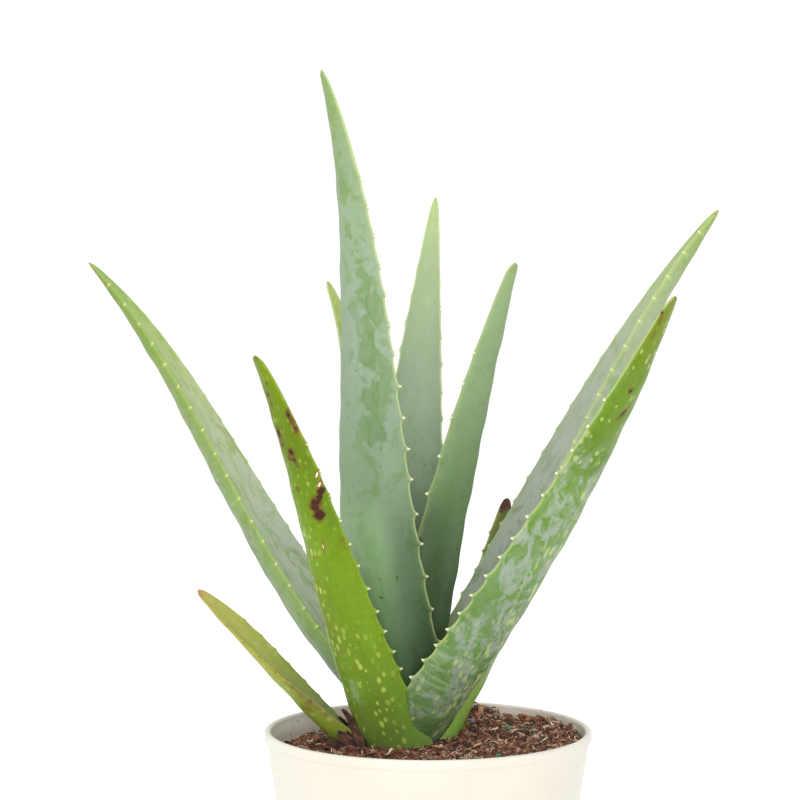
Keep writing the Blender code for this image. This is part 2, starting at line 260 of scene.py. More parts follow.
def leafStations(leaf, step, toothStep):   # places along the leaf, closer together where a tooth stands
    length = leaf["length"]
    cusps = []
    for place, gap, height in toothPlaces(leaf):
        shift = toothShift(leaf, place)
        cusps += [place - shift, place + shift]
    places = [0.0]
    while places[-1] < length * 0.97:
        near = any(abs(places[-1] - cusp) < toothShape["zone"] for cusp in cusps)
        places.append(places[-1] + (toothStep if near and leaf.get("toothScale", 1) > 0.1 else step))
    places += list(length * (1 - 0.03 * np.linspace(0.9, 0, 14) ** 1.6))
    return np.array(sorted(places)) / length


def leafPoints(leaf, s, acrossCount, grow, seed):   # rings of points, and what the skin needs
    parts = leafShape["stripParts"]
    t = np.linspace(-1, 1, acrossCount)
    inner = 0.5 * t + 0.5 * np.sin(t * math.pi / 2)
    rise = np.arange(1, parts + 1) / parts   # 0 where the margin's strip starts, 1 at the edge
    one = np.concatenate([-np.ones(parts), inner, np.ones(parts)])
    strip = np.concatenate([rise[::-1], np.zeros(acrossCount), rise])
    ring = np.concatenate([one, [1.0], one[::-1], [-1.0], one[:1]])
    inStrip = np.concatenate([strip, [1.0], strip[::-1], [1.0], strip[:1]])[None]
    count = len(one)
    layer = np.concatenate([np.zeros(count), [0.5], np.ones(count), [0.5], [0.0]])
    s2 = np.tile(s[:, None], (1, len(ring)))
    below = np.tile(layer, (len(s), 1))
    half = halfWidth(leaf, s2)
    narrow = np.minimum(leafShape["strip"] / np.maximum(half, 1e-5), leafShape["widestStrip"])
    a = ring * (1 - narrow * (1 - inStrip))
    size = np.abs(a)
    length = leaf["length"]
    rng = random.Random(seed)
    sides = [toothReach(leaf, s * length, side, rng) for side in (-1, 1)]
    reach, part, away = (np.where(a < 0, left[:, None], right[:, None]) for left, right in zip(*sides))
    power, blunt = leaf.get("thickTaper", leafShape["thickTaper"])
    thick = leaf["thick"] * np.clip(1 - s2 ** power, 0, 1) ** blunt
    edge = np.minimum(leafShape["margin"], half / 2)
    bulge = np.clip(1 - size ** leafShape["belly"][0], 0, 1) ** leafShape["belly"][1]
    thinned, fullReach = toothShape["pinch"]
    pinch = 1 - thinned * inStrip * np.clip(reach / fullReach, 0, 1)   # teeth and their flanks are thin
    body = (edge * pinch + np.maximum(thick - edge, 0) * bulge)
    cup = np.radians(leaf["cup"] + (leafShape["tipCup"] - leaf["cup"]) * s2)
    angle = cup * a
    y = s2 * length
    waver = leafShape["waver"] * np.clip(s2 * 8, 0, 1) * np.clip((1 - s2) * 6, 0, 1)
    wave = waver * (np.sin(y * 190 + a * 2.1 + seed) + 0.7 * np.sin(y * 410 - a * 3.3 + seed * 2.3) +
                    0.6 * np.sin(y * 95 + a * 5.0 + seed * 1.7))
    middle = edge * (1 - pinch) / 2
    lower = np.where(below > 0.75, -body - grow - middle, -body / 2 - middle)
    lift = np.where(below < 0.25, grow - middle, lower)
    lift = lift + wave * bulge ** 0.5 * np.where(below > 0.5, -1, 0.6)
    rounded = np.where(below == 0.5, 0.3 * edge * pinch, 0)
    outward = reach * inStrip ** toothShape["flare"] + grow * inStrip + rounded
    curve = half / np.maximum(cup, 1e-6)
    side = (curve - lift) * np.sin(angle) + np.sign(a) * outward * np.cos(angle)
    up = curve * (1 - np.cos(angle)) + lift * np.cos(angle) + thick / 2 + outward * np.sin(np.abs(angle))
    along, face, across = leafFrame(leaf, s)
    points = leafAxis(leaf, s)[:, None] + across[:, None] * side[..., None] + face[:, None] * up[..., None]
    x = a * half + np.sign(a) * outward
    fromEdge = half + reach - np.abs(x)
    return points, count, x, y, fromEdge, part * inStrip ** toothShape["flare"], away, below


def leafMesh(name, leaf, step, toothStep, acrossCount, grow, seed):
    s = leafStations(leaf, step, toothStep)
    points, count, *values = leafPoints(leaf, s, acrossCount, grow, seed)
    if grow:
        points[0] -= leafFrame(leaf, np.zeros(1))[0] * grow
    # the base is drawn together to a line and the tip to a point, so the skin closes
    close = points[0] - leafFrame(leaf, np.zeros(1))[0] * leafShape["closing"]
    middle = (close[:count] + close[count + 1:2 * count + 1][::-1]) / 2
    close[:count] = middle
    close[count + 1:2 * count + 1] = middle[::-1]
    close[count] = middle[-1]
    close[-2:] = middle[0]
    points[-1] = points[-1].mean(0)
    points = np.vstack([close[None], points])
    x, y, fromEdge, part, away, below = (np.vstack([value[:1], value]) for value in values)
    rows, columns = x.shape
    deselectAll()
    bpy.ops.mesh.primitive_grid_add(x_subdivisions=columns - 1, y_subdivisions=rows - 1, size=1)
    obj = bpy.context.object
    obj.name = obj.data.name = name
    mesh = obj.data
    mesh.vertices.foreach_set("co", points.reshape(-1, 3).astype(np.float32).ravel())
    corners = np.zeros(len(mesh.loops), np.int32)
    mesh.loops.foreach_get("vertex_index", corners)
    while mesh.uv_layers:
        mesh.uv_layers.remove(mesh.uv_layers[0])
    strip = np.arange(len(corners)) // 4 % (columns - 1)
    onBack = (strip >= count) & (strip <= 2 * count)
    maps = {"skin": (x * 1000, y * 1000),                # millimetres across and along the skin
            "rim": (fromEdge * 1000, away * 1000),       # millimetres in from the edge, and from the cusp
            "tooth": (part, below),                      # 1 at a tooth's cusp, and 1 on the leaf's back
            "place": (x / (leaf["width"] / 2), y / leaf["length"])}   # 1 at the edge, and 1 at the tip
    for key, (u, v) in maps.items():
        layer = mesh.uv_layers.new(name=key)
        pairs = np.stack([u.ravel()[corners], v.ravel()[corners]], -1)
        if key == "skin":
            pairs[:, 0] += leafShape["backAway"] * onBack
        layer.data.foreach_set("uv", pairs.astype(np.float32).ravel())
    makeActive(obj)
    bpy.ops.object.mode_set(mode="EDIT")
    bpy.ops.mesh.select_all(action="SELECT")
    bpy.ops.mesh.remove_doubles(threshold=2e-6)
    bpy.ops.mesh.normals_make_consistent(inside=False)
    bpy.ops.object.mode_set(mode="OBJECT")
    return obj


leafCutters = []


def cutByNeighbours(obj, cutters):   # room for the leaves that it wraps round
    if not cutters:
        return obj
    for cutter in cutters:
        mod = obj.modifiers.new("room", "BOOLEAN")
        mod.operation = "DIFFERENCE"
        mod.solver = "MANIFOLD"
        mod.object = cutter
    applyModifiers(obj)
    makeActive(obj)
    bpy.ops.object.mode_set(mode="EDIT")
    bpy.ops.mesh.select_all(action="SELECT")
    bpy.ops.mesh.separate(type="LOOSE")
    bpy.ops.object.mode_set(mode="OBJECT")
    pieces = sorted(bpy.context.selected_objects, key=lambda o: len(o.data.vertices))
    name = obj.name
    for scrap in pieces[:-1]:
        bpy.data.objects.remove(scrap)
    pieces[-1].name = name
    return pieces[-1]


def paintMarks(obj, marks):   # how many mm each corner lies from the nearest mark of a kind
    mesh = obj.data
    uv = np.zeros(len(mesh.loops) * 2, np.float32)
    mesh.uv_layers["skin"].data.foreach_get("uv", uv)
    u, v = uv[::2], uv[1::2]
    for kind in sorted({mark[0] for mark in marks}):
        away = np.full(len(u), 4.0)   # further than that makes no difference
        for what, side, x, y, across, along, turn in marks:
            if what != kind:
                continue
            dx = u - x - (leafShape["backAway"] if side == "back" else 0)
            dy = v - y
            c, s = math.cos(math.radians(turn)), math.sin(math.radians(turn))
            reach = np.sqrt(((dx * c + dy * s) / across) ** 2 + ((dy * c - dx * s) / along) ** 2)
            away = np.minimum(away, (reach - 1) * min(across, along))
        layer = mesh.attributes.new(kind, "FLOAT", "CORNER")
        layer.data.foreach_set("value", away.astype(np.float32))


skinNoises = {   # noises over the skin: a blotch's mm across and along, detail, distortion and roughness
    "clouds": (14, 45, 3.0, 0.6, 0.5), "streaks": (0.7, 18, 2.0, 0.0, 0.5),
    "mottle": (2.4, 2.4, 3.0, 0.0, 0.6), "patches": (9, 16, 4.0, 1.4, 0.62),
    "smears": (3.2, 11, 3.0, 1.1, 0.6), "wide": (4.5, 6, 3.0, 0.9, 0.55),
    "bands": (13, 4.0, 2.0, 1.4, 0.5), "fine": (2.6, 2.6, 1.0, 0.5, 0.5)}


def makeLeafSkin(name, look):   # fleshy leaf: green under a pale wax bloom that rubs off, with a horny margin
    mat = newMaterial(name)
    node = partial(addNode, mat)
    product = {"operation": "MULTIPLY"}
    smooth = {"interpolation_type": "SMOOTHSTEP"}
    paint = {"data_type": "RGBA"}
    skin = node("UVMap", uv_map="skin")
    rim = node("UVMap", uv_map="rim")
    place = node("SeparateXYZ", {0: node("UVMap", uv_map="place")})
    tooth = node("SeparateXYZ", {0: node("UVMap", uv_map="tooth")})
    side, along, back = place.outputs["X"], place.outputs["Y"], tooth.outputs[1]
    noises = {}
    for key, (across, high, detail, warp, rough) in skinNoises.items():
        where = node("Mapping", {0: skin, "Scale": (1 / across, 1 / high, 1)})
        noises[key] = node("TexNoise", {"Vector": where, "Scale": 1.0, "Detail": detail, "Roughness": rough,
                                        "Distortion": warp})
    wander = {"rub": node("MapRange", {0: noises["wide"], 1: 0.25, 2: 0.75, 3: -3.0, 4: 3.0}),
              "scar": node("MapRange", {0: noises["fine"], 1: 0.2, 2: 0.8, 3: -0.6, 4: 0.6})}
    wander |= {"wax": wander["rub"], "bruise": wander["scar"], "nick": 0.0}
    marks = {}   # how many mm it is to the nearest mark of each kind, with a wandering edge
    for kind in sorted({mark[0] for mark in look["marks"]}):
        painted = node("Attribute", attribute_name=kind).outputs["Fac"]
        marks[kind] = node("Math", {0: painted, 1: wander[kind]}, operation="ADD")

    # broad shade of the flesh, blotches of 2.4 mm and streaks 0.7 x 18 mm along it
    # the back face is darker by backShade: partly its greener skin, partly painted shade
    tone = node("MapRange", {0: back, 3: 1.0, 4: look["backShade"]})
    for key, low, high in (("clouds", 0.86, 1.12), ("streaks", 0.96, 1.04), ("mottle", 0.92, 1.08)):
        part = node("MapRange", {0: noises[key], 1: 0.3, 2: 0.7, 3: low, 4: high})
        tone = node("Math", {0: tone, 1: part}, **product)
    green = node("VectorMath", {0: node("ValToRGB", {0: along}, stops=look["skin"]), 1: tone}, **product)

    # the wax bloom: worn off in patches, smeared along the leaf, and rubbed or left where the marks say
    bloom = node("ValToRGB", {0: along}, stops=look["cover"])
    parts = [node("MapRange", {0: back, 3: 1.0, 4: look["backCover"]}),
             node("MapRange", {0: noises["patches"], 1: look["worn"] + 0.07, 2: look["worn"] - 0.09,
                               3: 1 - look["wear"], 4: 1.0}, **smooth),
             node("MapRange", {0: noises["smears"], 1: 0.66, 2: 0.44, 3: 1 - look["smear"], 4: 1.0}, **smooth)]
    if "rub" in marks:
        left = node("MapRange", {0: noises["smears"], 1: 0.38, 2: 0.62, 3: look["left"] + 0.25,
                                 4: look["left"]})
        parts.append(node("MapRange", {0: marks["rub"], 1: -0.7, 2: 0.6, 3: left, 4: 1.0}, **smooth))
    if look["scrawl"]:   # curved strokes where something brushed it, 1.2 mm wide and 4 mm apart
        strokes = node("TexWave", {"Vector": skin, "Scale": 0.078, "Distortion": 11.0, "Detail": 2.0,
                                   "Detail Scale": 1.7, "Detail Roughness": 0.45})
        strokes = node("MapRange", {0: strokes, 1: 0.55, 2: 0.9, 3: 0.0, 4: look["scrawl"]}, **smooth)
        here = node("MapRange", {0: noises["wide"], 1: 0.46, 2: 0.6}, **smooth)
        brushed = node("Math", {0: strokes, 1: here}, **product)
        parts.append(node("Math", {0: 1.0, 1: brushed}, operation="SUBTRACT"))
    parts.append(node("MapRange", {0: noises["mottle"], 1: 0.3, 2: 0.75, 3: 1.0, 4: look["powder"]}))
    for part in parts:
        bloom = node("Math", {0: bloom, 1: part}, **product)
    if "wax" in marks:
        kept = node("MapRange", {0: marks["wax"], 1: 2.2, 2: -1.8, 3: 0.0, 4: look["waxed"]}, **smooth)
        bloom = node("Math", {0: bloom, 1: kept}, operation="MAXIMUM")
    uneven = node("MapRange", {0: noises["smears"], 1: 0.3, 2: 0.7, 3: 0.95, 4: 1.05})
    pale = node("VectorMath", {0: node("ValToRGB", {0: along}, stops=look["bloom"]), 1: uneven}, **product)
    colour = node("Mix", {0: bloom, 1: green, 2: pale}, **paint)
    if look["paintedBaseShading"]:   # painted light and shade near the base: one side brightened, the other darkened, standing in for the light and shade between neighbouring leaves
        leftPaintedShading, rightPaintedShading, start, full, end = look["paintedBaseShading"]
        across = node("MapRange", {0: side, 1: start, 2: full, 3: leftPaintedShading, 4: rightPaintedShading}, **smooth)
        shade = node("MapRange", {0: along, 1: end - 0.12, 2: end, 3: across, 4: 1.0}, **smooth)
        colour = node("VectorMath", {0: colour, 1: shade}, **product)
    layers = []   # (how much, colour), from the lowest up

    # pale flecks, longer than wide, in loose clusters: cell in mm, size, strength, where along, which side
    for across, high, size, amount, start, end, sides in look["flecks"]:
        cells = node("Mapping", {0: skin, "Scale": (1 / across, 1 / high, 1)})
        fleck = node("TexVoronoi", {"Vector": cells, "Scale": 1.0, "Randomness": 1.0}, voronoi_dimensions="2D")
        chance = node("SeparateColor", {0: fleck.outputs["Color"]})
        limit = node("MapRange", {0: chance.outputs[0], 3: size * 0.35, 4: size * 1.3})
        gap = node("Math", {0: limit, 1: fleck.outputs["Distance"]}, operation="SUBTRACT")
        mark = node("MapRange", {0: gap, 1: -0.03, 2: look["soft"], 3: 0.0, 4: amount}, **smooth)
        for part in (node("MapRange", {0: chance.outputs[1], 1: 0.2, 2: 0.45}),
                     node("MapRange", {0: noises["patches"], 1: 0.64, 2: 0.54}),
                     node("MapRange", {0: along, 1: start - 0.06, 2: start + 0.04}),
                     node("MapRange", {0: along, 1: end + 0.08, 2: end - 0.04}),
                     node("MapRange", {0: side, 1: sides[0], 2: sides[1]})):
            mark = node("Math", {0: mark, 1: part}, **product)
        layers.append((mark, look["fleckHex"]))

    # faint bands across the leaf near its base, 4 mm apart
    amount, end = look["bands"]
    bands = node("MapRange", {0: noises["bands"], 1: 0.5, 2: 0.68}, **smooth)
    low = node("MapRange", {0: along, 1: end + 0.1, 2: end - 0.05, 3: 0.0, 4: amount})
    layers.append((node("Math", {0: bands, 1: low}, **product), look["bandHex"]))

    # small dark specks, 7 mm apart across the leaf and 9 mm along it
    cells = node("Mapping", {0: skin, "Location": (3.1, 0, 0), "Scale": (1 / 7, 1 / 9, 1)})
    dots = node("TexVoronoi", {"Vector": cells, "Scale": 1.0}, voronoi_dimensions="2D")
    size = node("MapRange", {0: node("SeparateColor", {0: dots.outputs["Color"]}).outputs[1], 1: 0.6, 2: 1.0,
                             3: 0.0, 4: 0.065})
    dots = node("Math", {0: size, 1: dots.outputs["Distance"]}, operation="SUBTRACT")
    layers.append((node("MapRange", {0: dots, 1: -0.01, 2: 0.03, 3: 0.0, 4: 0.45}), look["speckHex"]))

    # the margin: a yellower verge, a horny line, a pale halo round each tooth, cream cusps
    fromEdge = node("SeparateXYZ", {0: rim}).outputs[0]
    amount, reach = look["verge"]
    waver = node("MapRange", {0: noises["wide"], 1: 0.3, 2: 0.7, 3: -reach * 0.4, 4: reach * 0.4})
    inward = node("Math", {0: fromEdge, 1: waver}, operation="ADD")
    verge = node("MapRange", {0: inward, 1: reach, 2: 0.2, 3: 0.0, 4: amount}, **smooth)
    here = node("MapRange", {0: side, 1: look["vergeFrom"], 2: look["vergeFrom"] + 0.4})
    layers.append((node("Math", {0: verge, 1: here}, **product), look["vergeHex"]))
    fromCusp = node("VectorMath", {0: rim}, operation="LENGTH").outputs["Value"]
    halo = node("MapRange", {0: fromCusp, 1: look["halo"][1], 2: 0.4, 3: 0.0, 4: look["halo"][0]}, **smooth)
    wide = look["lineWide"]
    line = node("MapRange", {0: fromEdge, 1: wide, 2: wide * 0.3, 3: 0.0, 4: look["line"]})
    layers.append((node("Math", {0: line, 1: halo}, operation="MAXIMUM"), look["lineHex"]))
    layers.append((node("MapRange", {0: tooth.outputs[0], 1: 0.5, 2: 0.85}), look["toothHex"]))

    # the marks: soft brown bruises, dark sunken scars with a corky edge, torn spots with a cream core
    stains = [("bruise", 0.7, -1.0, 0.55, "62401E"), ("scar", 0.8, 0.1, 0.7, look["corkHex"]),
              ("scar", 0.15, -0.3, 0.95, look["scarHex"]), ("nick", 0.45, 0.15, 0.85, "7A4A30"),
              ("nick", 0.12, -0.05, 0.95, "F0E2C8")]
    for kind, start, full, amount, stain in stains:
        if kind in marks:
            mark = node("MapRange", {0: marks[kind], 1: start, 2: full, 3: 0.0, 4: amount}, **smooth)
            layers.append((mark, stain))

    # the last millimetres of the tip
    ragged = node("MapRange", {0: noises["mottle"], 1: 0.3, 2: 0.7, 3: -0.02, 4: 0.02})
    ragged = node("Math", {0: along, 1: ragged}, operation="ADD")
    start, full, amount, tipHex = look["tip"]
    layers.append((node("MapRange", {0: ragged, 1: start, 2: full, 3: 0.0, 4: amount}, **smooth), tipHex))
    for amount, over in layers:
        colour = node("Mix", {0: amount, 1: colour, 2: over}, **paint)

    grain = node("TexNoise", {"Vector": skin, "Scale": 2.2, "Detail": 2.0})   # pores, drawn at 0.45 mm
    bump = node("Bump", {"Height": grain, "Strength": 0.10, "Distance": 0.0002})
    bump = node("Bump", {"Height": noises["streaks"], "Strength": 0.35, "Distance": 0.0002, "Normal": bump})
    if "scar" in marks:
        sunk = node("MapRange", {0: marks["scar"], 1: 0.15, 2: -0.3}, **smooth)
        bump = node("Bump", {"Height": sunk, "Strength": 0.8, "Distance": 0.0004, "Normal": bump}, invert=True)
    shine = node("MapRange", {0: bloom, 3: look["gloss"], 4: 0.58})
    shader = node("BsdfPrincipled", {"Base Color": colour, "Roughness": shine, "Normal": bump,
                                     "Subsurface Weight": 0.15, "Subsurface Radius": (0.7, 1.0, 0.3),
                                     "Subsurface Scale": 0.0018, "IOR": 1.4, "Specular IOR Level": look["wet"]})
    node("OutputMaterial", {0: shader})
    return mat


def makeLeaf(name, node, leaf, look):
    seed = len(leafCutters)
    obj = leafMesh(name, leaf, leafShape["step"], toothShape["step"], leafShape["across"], 0.0, seed)
    obj = cutByNeighbours(obj, leafCutters)
    leafCutters.append(leafMesh(name + "Room", leaf, leafShape["cutterStep"], leafShape["cutterStep"],
                                leafShape["cutterAcross"], leafShape["gap"], seed))
    paintMarks(obj, look["marks"])
    print(name, "has", len(obj.data.polygons), "faces")
    return finishPiece(obj, makeLeafSkin(name + "Skin", look), [node])


plainLook = {   # what most leaves share; each leaf's own dictionary changes what differs
    "skin": [(0.0, "5E7A38"), (0.35, "5F8442"), (0.75, "6F9650"), (1.0, "8FAE55")],
    "bloom": [(0.0, "8E9C87"), (1.0, "8E9C87")], "cover": [(0.0, 0.25), (0.2, 0.6), (0.6, 0.9), (1.0, 0.35)],
    "worn": 0.60, "wear": 0.5, "powder": 0.8, "smear": 0.25, "left": 0.22, "waxed": 0.6, "scrawl": 0.0,
    "backCover": 1.0, "backShade": 1.0, "paintedBaseShading": None, "flecks": [], "fleckHex": "B9C680", "soft": 0.06,
    "bands": (0.0, 0.2), "bandHex": "A9B98F", "speckHex": "3C4A22", "scarHex": "3A1F16", "corkHex": "7A6A3A",
    "verge": (0.2, 1.8), "vergeHex": "8FA268", "vergeFrom": -9, "line": 0.5, "lineWide": 0.4,
    "lineHex": "B4C286", "toothHex": "E6E0BC", "halo": (0.2, 2.0), "tip": (0.985, 1.0, 0.5, "8A7A3C"),
    "gloss": 0.42, "wet": 0.3, "marks": []}

tallLeaf = {
    "length": 0.261, "width": 0.047, "thick": 0.009, "lean": (19, 2, 18), "heading": 214.5, "swing": -2,
    "roll": (18, -3), "cup": 48, "taper": (1.35, 0.75), "baseWidth": 0.85,
    "root": (-0.0066, -0.0045, 0.004), "spacing": (0.0145, 0.0095), "firstTooth": 0.030}
tallLook = plainLook | {
    # skin and bloom darken towards the base: partly its greener skin, partly painted shade where the leaves
    # crowd together
    "skin": [
        (0.0, "35482A"), (0.12, "45603A"), (0.25, "587A48"), (0.55, "628048"), (0.85, "6B8A48"),
        (1.0, "7C9A4A")],
    "bloom": [(0.0, "6F8266"), (0.3, "7F907A"), (0.6, "8E9D8A"), (1.0, "92A184")],
    "cover": [(0.0, 0.1), (0.2, 0.35), (0.35, 0.7), (0.55, 0.95), (0.8, 0.85), (0.93, 0.55), (1.0, 0.2)],
    # painted light on the base's left side and painted shade on its right
    "worn": 0.60, "wear": 0.5, "paintedBaseShading": (1.5, 0.62, 0.25, 0.65, 0.40), "lineWide": 0.5, "line": 0.6,
    "marks": [
        ("rub", "back", 8.7, 167, 3.6, 8, 0), ("rub", "back", 7.5, 150, 4.4, 7, 8),
        ("rub", "back", 10, 134, 4, 9, 0), ("rub", "back", 7, 121, 5, 6, 20),
        ("rub", "back", 12, 142, 2.5, 7, -10), ("rub", "back", 6, 182, 2.6, 10, 0),
        ("rub", "back", 1.5, 212, 1.2, 12, 0), ("rub", "back", 1, 243, 2.0, 9, 0),
        ("rub", "back", 21, 51, 1.6, 4, 0), ("rub", "back", 18, 74, 1.4, 3, 0),
        ("scar", "back", 10.1, 113.7, 0.3, 0.4, 0), ("scar", "back", 10.9, 122.4, 0.5, 0.6, 0),
        ("scar", "back", 12.5, 63.2, 0.4, 0.5, 0), ("scar", "back", 12.6, 61.6, 0.4, 0.5, 0),
        ("scar", "back", 13.5, 97.2, 0.4, 0.4, 0), ("scar", "back", 6.9, 55.3, 0.5, 0.3, 0),
        ("nick", "back", 10.9, 122.5, 0.25, 0.3, 0), ("wax", "back", 2.2, 152.1, 1.0, 3, 0)],
    "scarHex": "35501F", "corkHex": "5A7A44", "waxed": 0.95}
makeLeaf("tallLeaf", "leaf_tall", tallLeaf, tallLook)

innerRightLeaf = {
    "length": 0.187, "width": 0.0375, "thick": 0.0085, "lean": (7, 12, 15.5), "heading": -17.5, "swing": -4,
    "roll": (-1, -10), "cup": 53, "taper": (1.4, 0.6), "baseWidth": 0.75, "root": (0.0041, -0.0024, 0.005),
    "spacing": (0.0222, 0.0100), "firstTooth": 0.0437}
innerRightLook = plainLook | {
    # skin and bloom darken towards the base: partly its greener skin, partly painted shade where the leaves
    # crowd together
    "skin": [(0.0, "2E3E26"), (0.3, "33462A"), (0.5, "466238"), (0.7, "587A4A"), (1.0, "86A463")],
    "bloom": [(0.0, "5E7050"), (0.3, "586C4A"), (0.5, "6A8258"), (0.75, "849672"), (1.0, "8C9E76")],
    "cover": [(0.0, 0.2), (0.4, 0.45), (0.7, 0.85), (1.0, 0.8)], "worn": 0.62, "line": 0.2,
    # painted shade on the base's left side, where the tall leaf shades it, and painted light on its right
    "paintedBaseShading": (0.6, 1.25, -0.9, 0.1, 0.55)}
makeLeaf("innerRightLeaf", "leaf_inner_right", innerRightLeaf, innerRightLook)

innerLeftLeaf = {
    "length": 0.182, "width": 0.0285, "thick": 0.008, "lean": (19, 7, 29.5), "heading": 134, "swing": 0,
    "roll": (-1, -1), "cup": 45, "taper": (1.4, 0.75), "baseWidth": 0.7, "root": (-0.0066, 0.0058, 0.004),
    "spacing": (0.0125, 0.0105), "firstTooth": 0.050}
innerLeftLook = plainLook | {
    "skin": [(0.0, "4E6A38"), (0.5, "76924A"), (1.0, "97A850")],
    "bloom": [(0.0, "A3AE78"), (1.0, "A3AE78")], "cover": [(0.0, 0.5), (1.0, 0.5)],
    "flecks": [(2.4, 5.0, 0.26, 0.6, 0.5, 1.0, (-9, -8))]}
makeLeaf("innerLeftLeaf", "leaf_inner_left", innerLeftLeaf, innerLeftLook)

innerBackLeaf = {
    "length": 0.218, "width": 0.0365, "thick": 0.008, "lean": (3.5, 18, 16.5), "heading": 81.5, "swing": -7,
    "roll": (-1, -6), "cup": 42, "taper": (1.4, 0.85), "baseWidth": 0.7, "toothScale": 0.8,
    "root": (-0.0022, 0.0089, 0.006), "spacing": (0.0125, 0.0115), "firstTooth": 0.050}
innerBackLook = plainLook | {
    "skin": [(0.0, "405A34"), (0.35, "5F8050"), (0.7, "7E9A5E"), (1.0, "A6BA74")],
    "bloom": [(0.0, "86987A"), (0.3, "93A18B"), (0.65, "909D89"), (1.0, "9AA788")],
    "cover": [(0.0, 0.3), (0.3, 0.75), (0.6, 0.95), (0.9, 0.7), (1.0, 0.3)], "worn": 0.62}
makeLeaf("innerBackLeaf", "leaf_inner_back", innerBackLeaf, innerBackLook)

frontRightLeaf = {
    "length": 0.218, "width": 0.040, "thick": 0.0085, "lean": (40, 33.5, 25.5), "heading": -37.5,
    "swing": 1, "roll": (4, 1), "cup": 51, "taper": (1.4, 0.55), "baseWidth": 0.75,
    "plump": (0.1, 0.08, 0.1, 0.03), "root": (-0.0001, -0.0061, -0.006), "spacing": (0.0075, 0.0125),
    "firstTooth": 0.022}
frontRightLook = plainLook | {
    "skin": [
        (0.0, "486430"), (0.3, "527630"), (0.6, "567A1C"), (0.8, "5C7C0A"), (0.93, "64780E"),
        (1.0, "6E7C1C")],
    "bloom": [(0.0, "7F867A"), (0.3, "8D958B"), (0.6, "989F97"), (1.0, "9AA09B")],
    "cover": [(0.0, 0.75), (0.2, 0.8), (0.5, 0.9), (0.64, 0.85), (0.73, 0.1), (1.0, 0.0)], "worn": 0.51,
    "wear": 0.78, "smear": 0.55, "scrawl": 0.8, "fleckHex": "AAB670", "wet": 0.22, "soft": 0.1,
    "flecks": [
        (3.2, 6, 0.22, 0.7, 0.66, 1.0, (-9, -8)), (2.1, 8.0, 0.32, 0.9, 0.10, 0.64, (-0.4, -0.1)),
        (2.0, 5.5, 0.30, 0.85, 0.04, 0.42, (-0.5, -0.1)), (2.2, 6.0, 0.24, 0.5, 0.04, 0.3, (-9, -8))],
    "bands": (0.3, 0.30), "bandHex": "9AAC88", "line": 0.55, "lineWide": 0.42, "gloss": 0.36,
    "scarHex": "42201A", "corkHex": "6A5A24", "tip": (0.988, 1.0, 0.7, "8A5A3C"), "vergeHex": "7E9A4A",
    "lineHex": "A9B878",
    "marks": [
        ("scar", "back", -3.4, 179.1, 0.6, 1.5, -35), ("scar", "back", -1.2, 170.5, 0.9, 2.7, -35),
        ("bruise", "back", -3.4, 209, 1.2, 2.5, 0), ("bruise", "back", -3.6, 202, 1.0, 2.0, 0),
        ("bruise", "back", -6.4, 173, 0.3, 0.6, 0), ("bruise", "back", -7.6, 175, 0.3, 0.4, 0),
        ("scar", "back", -3.6, 211, 0.25, 0.4, 0), ("scar", "back", -2.6, 207, 0.25, 0.3, 0)]}
makeLeaf("frontRightLeaf", "leaf_front_right", frontRightLeaf, frontRightLook)

